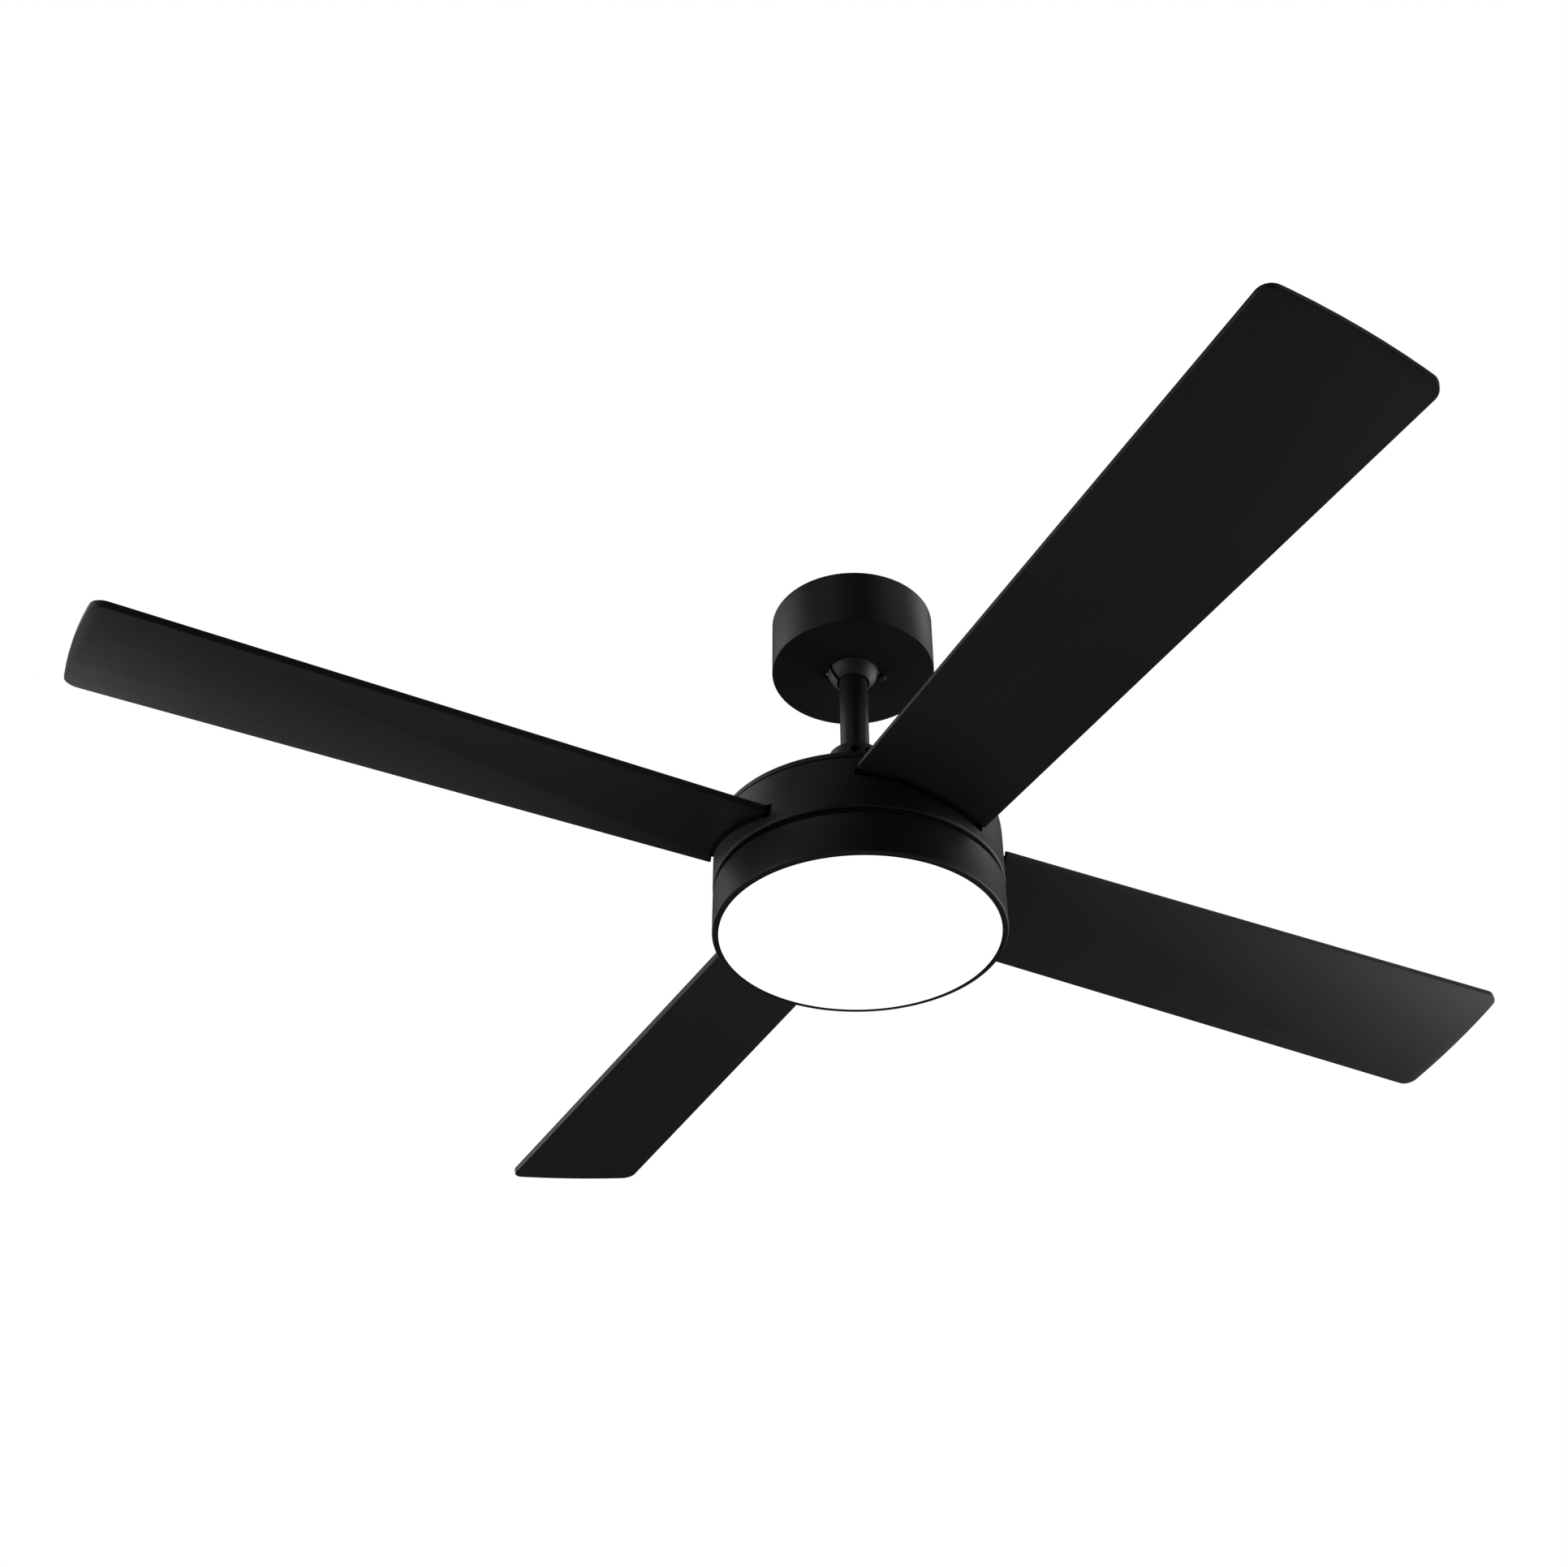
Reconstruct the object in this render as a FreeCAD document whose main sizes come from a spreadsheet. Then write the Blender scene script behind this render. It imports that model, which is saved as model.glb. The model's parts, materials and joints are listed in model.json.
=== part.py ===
# Ceiling fan with a flat light: a ball-hung downrod carries a fixed motor shaft and lamp,
# and a four-blade rotor turns round the shaft.
# Millimetres. The origin is the centre of the ceiling plate's top face, on the ceiling.
# +Z points up into the ceiling, so every piece lies at negative Z. Blade 1 points along +X.

import FreeCAD, Part
import math
import os
import Sketcher
from FreeCAD import Placement, Rotation, Vector

# ---------------------------------------------------------------- driving dimensions
# "drop" is a distance below the ceiling, "reach" a distance from the fan's axis.

DIMENSIONS = {
    # ceiling bracket
    "bracket_half_length": 60.0,
    "bracket_half_width": 33.0,
    "bracket_sheet": 2.5,
    "bracket_leg_reach": 30.0,
    "bracket_floor_top_drop": 53.0,
    "bracket_floor_drop": 56.0,
    "bracket_entry_half_width": 14.0,
    "ceiling_slot_reach": 44.0,
    "ceiling_slot_length": 20.0,
    "ceiling_slot_radius": 2.6,
    "wire_hole_radius": 11.0,
    "ground_screw_x": 46.0,
    "ground_screw_y": 22.0,
    "ground_shank_gap": 0.4,
    "ground_head_height": 2.6,
    "ground_slot_depth": 1.0,
    "ground_slot_half_width": 0.5,
    # canopy
    "canopy_radius": 74.6,
    "canopy_height": 57.7,
    "canopy_wall": 1.2,
    "canopy_hole_radius": 24.1,
    "canopy_edge_round": 1.0,
    "canopy_screw_reach": 27.2,
    "canopy_screw_angle": -20.0,
    "canopy_screw_head_radius": 3.5,
    "canopy_screw_head_height": 4.2,
    "canopy_screw_radius": 1.5,
    "canopy_screw_length": 6.5,
    "canopy_screw_slot_depth": 1.0,
    "canopy_screw_slot_half_width": 0.5,
    # hanger ball, its key and the downrod
    "ball_radius": 24.5,
    "ball_drop": 50.0,
    "ball_flat_above": 14.0,
    "ball_flat_below": 19.4,
    "ball_bore_radius": 14.4,
    "ball_slot_width": 4.0,
    "ball_slot_above": 9.0,
    "seat_gap": 0.3,
    "key_thickness": 3.4,
    "key_height": 5.0,
    "key_inner_reach": 16.5,
    "key_shank_radius": 2.5,
    "key_head_radius": 4.5,
    "key_head_gap": 0.3,
    "key_head_height": 2.0,
    "key_head_overlap": 0.1,
    "key_shank_start": 25.5,
    "key_blade_reach": 26.0,
    "key_shank_gap": 0.06,
    "rod_radius": 13.0,
    "rod_wall": 2.0,
    "rod_top_drop": 32.0,
    "rod_bottom_drop": 198.0,
    "rod_pin_radius": 3.0,
    "rod_pin_drop": 38.0,
    "rod_pin_half_length": 19.0,
    "rod_pin_room": 0.1,
    "rod_pin_end_room": 0.5,
    "ball_screw_radius": 2.5,
    "ball_screw_drop": 52.0,
    "ball_screw_reach": 22.0,
    "ball_screw_socket_radius": 1.2,
    "ball_screw_socket_depth": 2.5,
    # coupling on the motor shaft
    "coupling_radius": 24.0,
    "coupling_top_drop": 155.5,
    "coupling_step_drop": 205.0,
    "coupling_neck_radius": 17.0,
    "coupling_floor_drop": 200.0,
    "coupling_bottom_drop": 250.0,
    "coupling_taper": 6.0,
    "coupling_edge_round": 1.0,
    "coupling_bore_radius": 13.1,
    "coupling_screw_drop": 163.4,
    "coupling_screw_radius": 3.5,
    "coupling_screw_recess": 2.0,
    "coupling_screw_rod_gap": 0.05,
    "coupling_socket_radius": 1.9,
    "coupling_socket_depth": 3.0,
    "coupling_pin_drop": 186.0,
    "coupling_pin_radius": 4.0,
    "coupling_pin_half_length": 27.0,
    "coupling_pin_tail": 3.0,
    "coupling_pin_head_gap": 0.2,
    "coupling_pin_head_height": 3.0,
    "coupling_pin_head_rim": 2.0,
    "clip_reach": 26.5,
    "clip_hole_radius": 1.1,
    "clip_wire_radius": 0.9,
    "clip_leg_top_drop": 177.6,
    "clip_leg_bottom_drop": 194.0,
    "clip_loop_radius": 3.0,
    "clip_loop_wire_radius": 0.8,
    "clip_loop_drop": 178.0,
    # motor shaft and bearings
    "shaft_radius": 8.0,
    "shaft_bore_radius": 5.0,
    "shaft_top_drop": 201.0,
    "shaft_bottom_drop": 314.2,
    "collar_radius": 11.5,
    "upper_bearing_drop": 252.0,
    "lower_bearing_drop": 287.0,
    "bearing_width": 9.0,
    "bearing_radius": 20.0,
    "bearing_middle_radius": 14.0,
    "bearing_race": 3.8,
    "bearing_ball_gap": 0.05,
    # stator and magnets
    "stator_top_drop": 266.0,
    "stator_bottom_drop": 282.0,
    "stator_hub_radius": 34.0,
    "stator_tip_radius": 62.0,
    "tooth_half_width": 3.0,
    "tooth_shoe_half_width": 11.0,
    "tooth_shoe": 3.5,
    "tooth_count": 12,
    "coil_inner_reach": 36.0,
    "coil_outer_reach": 56.0,
    "coil_half_width": 8.8,
    "coil_overhang": 2.0,
    "coil_tooth_gap": 0.1,
    "magnet_arc": 20.0,
    "magnet_inner_radius": 64.5,
    "magnet_outer_radius": 70.0,
    "magnet_top_drop": 264.0,
    "magnet_bottom_drop": 284.0,
    "magnet_count": 16,
    # rotor case
    "case_radius": 76.0,
    "case_top_drop": 256.0,
    "case_split_drop": 261.0,
    "case_floor_top_drop": 287.0,
    "case_flange_top_drop": 288.0,
    "case_bottom_drop": 291.0,
    "case_flange_radius": 114.0,
    "hub_radius": 26.0,
    "hub_top_drop": 250.5,
    "hub_bottom_drop": 297.0,
    "post_reach": 55.0,
    "post_radius": 5.0,
    "post_hole_depth": 9.0,
    "case_screw_inset": 3.0,
    "case_screw_hole_depth": 9.0,
    "case_screw_reach_below": 8.0,
    "cover_screw_length": 9.0,
    "shell_screw_length": 6.0,
    # housing round the rotor
    "shell_radius": 124.4,
    "shell_wall": 1.5,
    "shell_top_drop": 244.7,
    "cover_radius": 124.0,
    "cover_rim_drop": 249.5,
    "cover_hole_radius": 28.0,
    "shell_shoulder_drop": 250.9,
    "shell_bottom_drop": 300.5,
    "shell_edge_round": 1.7,
    "shell_lip": 4.0,
    "shell_lip_thickness": 2.0,
    "shell_neck_gap": 0.4,
    "shell_shoulder_round": 0.5,
    "cover_edge_round": 0.8,
    "shell_flange_reach": 104.0,
    "shell_screw_reach": 111.0,
    "blade_slot_trail": 62.7,
    "blade_slot_lead": 56.2,
    "blade_slot_below": 3.1,
    "blade_slot_above": 9.1,
    # blades
    "blade_drop": 278.2,
    "blade_pitch": 11.55,
    "blade_thickness": 6.0,
    "blade_root_radius": 127.3,
    "blade_tip_radius": 660.0,
    "blade_trail_root": 63.2,
    "blade_trail_tip": 70.3,
    "blade_lead_root": 56.5,
    "blade_lead_tip": 69.7,
    "blade_corner_round": 12.0,
    "blade_count": 4,
    # blade arms
    "arm_thickness": 3.0,
    "arm_inner_reach": 84.0,
    "arm_wide_reach": 100.0,
    "arm_shoulder_reach": 138.0,
    "arm_neck_reach": 152.0,
    "arm_end_reach": 204.0,
    "arm_trail": 57.5,
    "arm_lead": 50.0,
    "arm_root_trail": 46.0,
    "arm_root_lead": 42.0,
    "arm_half_width": 34.0,
    "arm_gap": 0.2,
    "arm_end_chamfer": 12.0,
    "arm_foot_overlap": 1.0,
    "foot_outer_reach": 112.0,
    "foot_screw_reach": 98.0,
    "foot_screw_side": 26.0,
    "foot_screw_seat": 4.5,
    "foot_head_room": 0.4,
    "foot_head_height": 3.0,
    "blade_screw_near": 164.0,
    "blade_screw_far": 190.0,
    "blade_screw_side": 20.0,
    "blade_screw_skin": 0.7,
    "blade_screw_tip_gap": 0.2,
    # general screws
    "screw_radius": 2.0,
    "screw_clearance": 0.1,
    "screw_head_radius": 3.8,
    "screw_head_height": 2.0,
    "screw_slot_half_length": 2.4,
    "screw_slot_half_width": 0.5,
    "screw_slot_depth": 0.8,
    # lamp
    "lamp_radius": 124.1,
    "lamp_wall": 1.5,
    "lamp_top_drop": 306.0,
    "lamp_bottom_drop": 344.5,
    "lamp_top_round": 1.4,
    "lamp_rim_round": 1.4,
    "lamp_lip_radius": 119.7,
    "washer_radius": 18.0,
    "washer_thickness": 2.0,
    "nut_flats": 24.0,
    "nut_height": 4.5,
    "plate_radius": 110.0,
    "plate_drop": 326.0,
    "plate_thickness": 2.0,
    "board_radius": 104.0,
    "board_thickness": 1.6,
    "chip_length": 3.5,
    "chip_width": 2.8,
    "chip_height": 0.8,
    "spacer_reach": 96.0,
    "spacer_radius": 4.0,
    "driver_length": 84.0,
    "driver_width": 54.0,
    "driver_height": 10.4,
    "diffuser_radius": 119.3,
    "diffuser_bottom_drop": 344.8,
    "diffuser_thickness": 2.4,
    "diffuser_flange_radius": 122.2,
    "diffuser_round": 0.8,
    "diffuser_flange_thickness": 2.0,
    "diffuser_side_wall": 2.5,
    "diffuser_seat_gap": 0.2,
    "led_screw_end_gap": 6.0,
    "spacer_screw_gap": 0.05,
    # remote receiver and terminal block in the canopy
    "receiver_length": 60.0,
    "receiver_width": 40.0,
    "receiver_height": 15.0,
    "receiver_wall": 1.5,
    "receiver_top_drop": 8.5,
    "receiver_board_drop": 16.0,
    "receiver_board_gap": 0.5,
    "receiver_board_thickness": 1.6,
    "receiver_parts_drop": 22.0,
    "transformer_inset": 3.0,
    "transformer_length": 15.0,
    "transformer_near": 12.0,
    "transformer_far": 6.0,
    "capacitor_x": 12.0,
    "capacitor_y": 6.0,
    "capacitor_radius": 5.0,
    "terminal_length": 30.0,
    "terminal_depth": 12.0,
    "terminal_height": 12.0,
    "terminal_drop": 20.0,
    "terminal_well_reach": 6.0,
    "terminal_well_pitch": 9.0,
    "terminal_well_radius": 2.4,
    "terminal_well_depth": 8.0,
}

FULL_TURN = 360.0
PAST = 1.0                                    # how far a cutting tool runs past a face
BALLS_PER_BEARING = 8
LED_RINGS = {30.0: 8, 58.0: 16, 86.0: 24}     # ring radius: number of light chips on it
SET_SCREW_ANGLES = (-120.0, -90.0)            # the coupling's two set screws

doc = FreeCAD.newDocument("CeilingFan")
sheet = doc.addObject("Spreadsheet::Sheet", "Dims")
for row, (alias, number) in enumerate(DIMENSIONS.items(), start=1):
    sheet.set(f"A{row}", alias)
    sheet.set(f"B{row}", str(number))
    sheet.setAlias(f"B{row}", alias)
doc.recompute()


class Size:
    """A number together with the sheet expression that gives it."""

    def __init__(self, number, text):
        self.number = number
        self.text = text

    def __add__(self, other):
        other = as_size(other)
        return Size(self.number + other.number, f"({self.text} + {other.text})")

    def __sub__(self, other):
        other = as_size(other)
        return Size(self.number - other.number, f"({self.text} - {other.text})")

    def __mul__(self, other):
        other = as_size(other)
        return Size(self.number * other.number, f"({self.text} * {other.text})")

    def __truediv__(self, other):
        other = as_size(other)
        return Size(self.number / other.number, f"({self.text} / {other.text})")

    def __neg__(self):
        return Size(-self.number, f"(-1 * {self.text})")


def as_size(value):
    """Turn a plain number into a Size, and leave a Size as it is."""
    return value if isinstance(value, Size) else Size(float(value), repr(float(value)))


def dim(alias):
    """The named cell of the sheet."""
    return Size(float(sheet.get(alias)), f"Dims.{alias}")


def at_drop(alias):
    """The height of a level given as a drop below the ceiling."""
    return -dim(alias)


def sine(angle):
    return Size(math.sin(math.radians(angle.number)), f"sin({angle.text} * 1 deg)")


def cosine(angle):
    return Size(math.cos(math.radians(angle.number)), f"cos({angle.text} * 1 deg)")


def tangent(angle):
    return Size(math.tan(math.radians(angle.number)), f"tan({angle.text} * 1 deg)")


NOUGHT = as_size(0.0)
PITCH = dim("blade_pitch")


# ---------------------------------------------------------------- helpers for bodies

def bind(thing, name, value):
    """Tie a property to the sheet."""
    thing.setExpression(name, as_size(value).text)


def origin_plane(body, role):
    return [item for item in body.Origin.OriginFeatures if item.Role == role][0]


def new_body(label):
    body = doc.addObject("PartDesign::Body", label)
    body.Label = label
    return body


def new_sketch(body, role, offset=NOUGHT):
    """A sketch on one of the body's own origin planes, moved along its normal."""
    sketch = body.newObject("Sketcher::SketchObject", f"{body.Name}_sketch")
    sketch.AttachmentSupport = [(origin_plane(body, role), "")]
    sketch.MapMode = "FlatFace"
    offset = as_size(offset)
    sketch.AttachmentOffset = Placement(Vector(0, 0, offset.number), Rotation())
    bind(sketch, "AttachmentOffset.Base.z", offset)
    return sketch


def pitched_sketch(body, lift):
    """A sketch parallel to blade 1's lower face, raised from it by lift."""
    sketch = new_sketch(body, "XY_Plane")
    lift = as_size(lift)
    side = lift * sine(PITCH)
    height = lift * cosine(PITCH) - dim("blade_drop")
    turn = Rotation(Vector(-1, 0, 0), PITCH.number)
    sketch.AttachmentOffset = Placement(Vector(0, side.number, height.number), turn)
    bind(sketch, "AttachmentOffset.Base.y", side)
    bind(sketch, "AttachmentOffset.Base.z", height)
    sketch.setExpression("AttachmentOffset.Rotation.Angle", f"{PITCH.text} * 1 deg")
    return sketch


def pin_point(sketch, geometry, end, x, y):
    """Hold one point of the sketch at x, y from the sketch's origin."""
    for kind, value, axis in (("DistanceX", x, -2), ("DistanceY", y, -1)):
        value = as_size(value)
        if abs(value.number) < 1e-9:
            sketch.addConstraint(Sketcher.Constraint("PointOnObject", geometry, end, axis))
        else:
            made = sketch.addConstraint(Sketcher.Constraint(kind, -1, 1, geometry, end, value.number))
            bind(sketch, f"Constraints[{made}]", value)


def draw_outline(sketch, points):
    """A closed outline of straight lines through the points."""
    points = [(as_size(x), as_size(y)) for x, y in points]
    first = sketch.GeometryCount
    for index, (x, y) in enumerate(points):
        next_x, next_y = points[(index + 1) % len(points)]
        start = Vector(x.number, y.number, 0)
        end = Vector(next_x.number, next_y.number, 0)
        sketch.addGeometry(Part.LineSegment(start, end))
    for index, (x, y) in enumerate(points):
        following = first + (index + 1) % len(points)
        sketch.addConstraint(Sketcher.Constraint("Coincident", first + index, 2, following, 1))
        pin_point(sketch, first + index, 1, x, y)


def draw_circle(sketch, x, y, radius):
    x, y, radius = as_size(x), as_size(y), as_size(radius)
    circle = Part.Circle(Vector(x.number, y.number, 0), Vector(0, 0, 1), radius.number)
    geometry = sketch.addGeometry(circle)
    made = sketch.addConstraint(Sketcher.Constraint("Radius", geometry, radius.number))
    bind(sketch, f"Constraints[{made}]", radius)
    pin_point(sketch, geometry, 3, x, y)


def draw_box(sketch, x_low, y_low, x_high, y_high):
    draw_outline(sketch, [(x_low, y_low), (x_high, y_low), (x_high, y_high), (x_low, y_high)])


def draw_slot(sketch, start, end, radius):
    """A slot with round ends centred on start and end."""
    (x1, y1), (x2, y2) = [(as_size(x), as_size(y)) for x, y in (start, end)]
    radius = as_size(radius)
    centres = [Vector(x1.number, y1.number, 0), Vector(x2.number, y2.number, 0)]
    along = centres[1] - centres[0]
    heading = math.atan2(along.y, along.x)
    side = Vector(-math.sin(heading), math.cos(heading), 0) * radius.number
    up = Vector(0, 0, 1)
    quarter = math.pi / 2
    lower = sketch.addGeometry(Part.LineSegment(centres[0] - side, centres[1] - side))
    far_circle = Part.Circle(centres[1], up, radius.number)
    far = sketch.addGeometry(Part.ArcOfCircle(far_circle, heading - quarter, heading + quarter))
    upper = sketch.addGeometry(Part.LineSegment(centres[1] + side, centres[0] + side))
    near_circle = Part.Circle(centres[0], up, radius.number)
    near = sketch.addGeometry(Part.ArcOfCircle(near_circle, heading + quarter, heading + 3 * quarter))
    for one, other in ((lower, far), (far, upper), (upper, near), (near, lower)):
        sketch.addConstraint(Sketcher.Constraint("Tangent", one, 2, other, 1))
    made = sketch.addConstraint(Sketcher.Constraint("Radius", far, radius.number))
    bind(sketch, f"Constraints[{made}]", radius)
    sketch.addConstraint(Sketcher.Constraint("Equal", far, near))
    pin_point(sketch, near, 3, x1, y1)
    pin_point(sketch, far, 3, x2, y2)


def pad(body, sketch, length, both_ways=False):
    feature = body.newObject("PartDesign::Pad", f"{body.Name}_pad")
    feature.Profile = sketch
    feature.Length = as_size(length).number
    bind(feature, "Length", length)
    feature.Midplane = both_ways
    body.Tip = feature
    doc.recompute()
    return feature


def pocket(body, sketch, length, forwards=False, both_ways=False):
    """Cut against the sketch's normal, or along it when forwards is set."""
    before = body.Shape.Volume
    feature = body.newObject("PartDesign::Pocket", f"{body.Name}_pocket")
    feature.Profile = sketch
    feature.Length = as_size(length).number
    bind(feature, "Length", length)
    feature.Reversed = forwards
    feature.Midplane = both_ways
    body.Tip = feature
    doc.recompute()
    if body.Shape.Volume > before - 0.01:
        raise RuntimeError(f"{body.Label}: a pocket cuts nothing")
    return feature


def revolve(body, sketch, angle=FULL_TURN):
    """Turn a profile drawn on the XZ plane round the fan's axis."""
    feature = body.newObject("PartDesign::Revolution", f"{body.Name}_turned")
    feature.Profile = sketch
    feature.ReferenceAxis = (sketch, ["V_Axis"])
    feature.Angle = as_size(angle).number
    bind(feature, "Angle", angle)
    body.Tip = feature
    doc.recompute()
    return feature


def repeat_round(body, features, count):
    """Repeat features at even steps round the fan's axis."""
    pattern = body.newObject("PartDesign::PolarPattern", f"{body.Name}_round")
    pattern.Originals = features
    pattern.Axis = (origin_plane(body, "Z_Axis"), [""])
    pattern.Angle = FULL_TURN
    pattern.Occurrences = int(as_size(count).number)
    bind(pattern, "Occurrences", count)
    body.Tip = pattern
    doc.recompute()
    return pattern


def fillet(body, edge_names, radius):
    base = body.Tip
    feature = body.newObject("PartDesign::Fillet", f"{body.Name}_rounds")
    feature.Base = (base, edge_names)
    feature.Radius = radius.number
    bind(feature, "Radius", radius)
    body.Tip = feature
    doc.recompute()
    return feature


def round_rims(body, radius, rims):
    """Fillet the circular edges that lie at the given radius and height."""
    names = []
    for index, edge in enumerate(body.Shape.Edges, start=1):
        for rim_radius, height in rims:
            if not isinstance(edge.Curve, Part.Circle):
                continue
            same_radius = abs(edge.Curve.Radius - rim_radius.number) < 0.01
            if same_radius and abs(edge.Curve.Center.z - height.number) < 0.01:
                names.append(f"Edge{index}")
    return fillet(body, names, radius)


def turned(label, points):
    """A body of revolution from a half profile of (reach, height) points."""
    body = new_body(label)
    sketch = new_sketch(body, "XZ_Plane")
    draw_outline(sketch, points)
    revolve(body, sketch)
    return body


def tube_points(inner, outer, low, high):
    return [(inner, low), (outer, low), (outer, high), (inner, high)]


def screw_ring(label, reach, count, seat, shank_end, start_angle=0.0, head_down=False):
    """A ring of upright pan-head screws, as separate solids in one body."""
    body = new_body(label)
    body.Placement = Placement(Vector(), Rotation(Vector(0, 0, 1), start_angle))
    low = shank_end if not head_down else seat
    high = seat if not head_down else shank_end
    shank_sketch = new_sketch(body, "XY_Plane", low)
    draw_circle(shank_sketch, reach, NOUGHT, dim("screw_radius"))
    shank = pad(body, shank_sketch, high - low)
    head_low = seat if not head_down else seat - dim("screw_head_height")
    head_sketch = new_sketch(body, "XY_Plane", head_low)
    draw_circle(head_sketch, reach, NOUGHT, dim("screw_head_radius"))
    head = pad(body, head_sketch, dim("screw_head_height"))
    socket_face = seat + dim("screw_head_height") if not head_down else head_low
    socket_sketch = new_sketch(body, "XY_Plane", socket_face)
    half_length, half_width = dim("screw_slot_half_length"), dim("screw_slot_half_width")
    draw_box(socket_sketch, reach - half_length, -half_width, reach + half_length, half_width)
    slot = pocket(body, socket_sketch, dim("screw_slot_depth"), forwards=head_down)
    repeat_round(body, [shank, head, slot], count)
    return body


def screw_holes(body, reach, count, top, depth):
    """A ring of upright clearance holes cut down from top."""
    sketch = new_sketch(body, "XY_Plane", top)
    draw_circle(sketch, reach, NOUGHT, dim("screw_radius") + dim("screw_clearance"))
    hole = pocket(body, sketch, depth)
    repeat_round(body, [hole], count)


# ---------------------------------------------------------------- helpers for primitives

def cylinder(name, radius, start, end, placement):
    """A cylinder along the placement's local Z, from start to end."""
    start, end, radius = as_size(start), as_size(end), as_size(radius)
    piece = doc.addObject("Part::Cylinder", name)
    bind(piece, "Radius", radius)
    bind(piece, "Height", end - start)
    piece.Placement = placement * Placement(Vector(0, 0, start.number), Rotation())
    return piece


def radial(angle, height):
    """A placement whose local Z points outwards at the given angle and height."""
    outwards = Vector(math.cos(math.radians(angle)), math.sin(math.radians(angle)), 0)
    return Placement(Vector(0, 0, as_size(height).number), Rotation(Vector(0, 0, 1), outwards))


def box(name, low, high):
    """A box between two corners."""
    low = [as_size(value) for value in low]
    high = [as_size(value) for value in high]
    piece = doc.addObject("Part::Box", name)
    for side, one, other in zip(("Length", "Width", "Height"), low, high):
        bind(piece, side, other - one)
    piece.Placement.Base = Vector(*[value.number for value in low])
    for axis, value in zip("xyz", low):
        bind(piece, f"Placement.Base.{axis}", value)
    return piece


def cut(label, base, tools):
    """Base with the tools taken away."""
    tool = tools[0]
    if len(tools) > 1:
        tool = doc.addObject("Part::MultiFuse", f"{label}_tools")
        tool.Shapes = tools
    result = doc.addObject("Part::Cut", label)
    result.Base = base
    result.Tool = tool
    result.Label = label
    doc.recompute()
    return result


def together(label, pieces):
    """Separate solids kept in one node."""
    group = doc.addObject("Part::Compound", label)
    group.Links = pieces
    group.Label = label
    doc.recompute()
    return group


nodes = []


def keep(piece):
    nodes.append(piece)
    return piece


# ---------------------------------------------------------------- ceiling bracket

def hanger_bracket():
    """A pressed strap: ceiling plate, two legs and a floor with the ball's seat."""
    body = new_body("hanger_bracket_strap")
    length = dim("bracket_half_length")
    sheet_wall = dim("bracket_sheet")
    inner = dim("bracket_leg_reach")
    outer = inner + sheet_wall
    floor = at_drop("bracket_floor_drop")
    floor_top = at_drop("bracket_floor_top_drop")
    sketch = new_sketch(body, "XZ_Plane")
    draw_outline(sketch, [
        (-length, NOUGHT), (-length, -sheet_wall), (-outer, -sheet_wall), (-outer, floor),
        (outer, floor), (outer, -sheet_wall), (length, -sheet_wall), (length, NOUGHT),
    ])
    draw_box(sketch, -inner, floor_top, inner, -sheet_wall)
    pad(body, sketch, dim("bracket_half_width") * 2, both_ways=True)
    slots = new_sketch(body, "XY_Plane")
    half_run = dim("ceiling_slot_length") / 2 - dim("ceiling_slot_radius")
    for side in (-1, 1):
        centre = dim("ceiling_slot_reach") * side
        start, end = (centre - half_run, NOUGHT), (centre + half_run, NOUGHT)
        draw_slot(slots, start, end, dim("ceiling_slot_radius"))
    draw_circle(slots, NOUGHT, NOUGHT, dim("wire_hole_radius"))
    pocket(body, slots, sheet_wall)
    entry = new_sketch(body, "XY_Plane", floor_top)
    half_entry = dim("bracket_entry_half_width")
    draw_box(entry, -half_entry, NOUGHT, half_entry, dim("bracket_half_width"))
    pocket(body, entry, floor_top - floor)
    for angle in (dim("canopy_screw_angle"), dim("canopy_screw_angle") + 180):
        screw = new_sketch(body, "XY_Plane", floor_top)
        reach = dim("canopy_screw_reach")
        hole_radius = dim("canopy_screw_radius") + dim("screw_clearance")
        draw_circle(screw, reach * cosine(angle), reach * sine(angle), hole_radius)
        pocket(body, screw, floor_top - floor)
    seat = doc.addObject("Part::Sphere", "ball_seat")
    bind(seat, "Radius", dim("ball_radius") + dim("seat_gap"))
    seat.Placement.Base.z = at_drop("ball_drop").number
    bind(seat, "Placement.Base.z", at_drop("ball_drop"))
    key_hole = cylinder("key_hole", dim("key_shank_radius") + dim("key_shank_gap"), inner - PAST,
                        outer + PAST, radial(180.0, at_drop("ball_drop")))
    ground = cylinder("ground_hole", dim("screw_radius"), -dim("bracket_sheet") - PAST, PAST,
                      ground_screw_place())
    return cut("hanger_bracket", body, [seat, key_hole, ground])


def ground_screw_place():
    """Upright, at the earth screw's place on the ceiling plate."""
    return Placement(Vector(-dim("ground_screw_x").number, dim("ground_screw_y").number, 0), Rotation())


def ground_screw():
    """The earth screw under the ceiling plate, with a flat slotted head."""
    at = ground_screw_place()
    under = -dim("bracket_sheet")
    shank = cylinder("ground_shank", dim("screw_radius"), under, -dim("ground_shank_gap"), at)
    face = under - dim("ground_head_height")
    head = cylinder("ground_head", dim("screw_head_radius"), face, under, at)
    screw = doc.addObject("Part::Fuse", "ground_fused")
    screw.Base = shank
    screw.Tool = head
    x, y = -dim("ground_screw_x"), dim("ground_screw_y")
    half_length, half_width = dim("screw_slot_half_length"), dim("ground_slot_half_width")
    slot = box("ground_slot", (x - half_length, y - half_width, face - PAST),
               (x + half_length, y + half_width, face + dim("ground_slot_depth")))
    return cut("ground_screw", screw, [slot])


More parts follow.
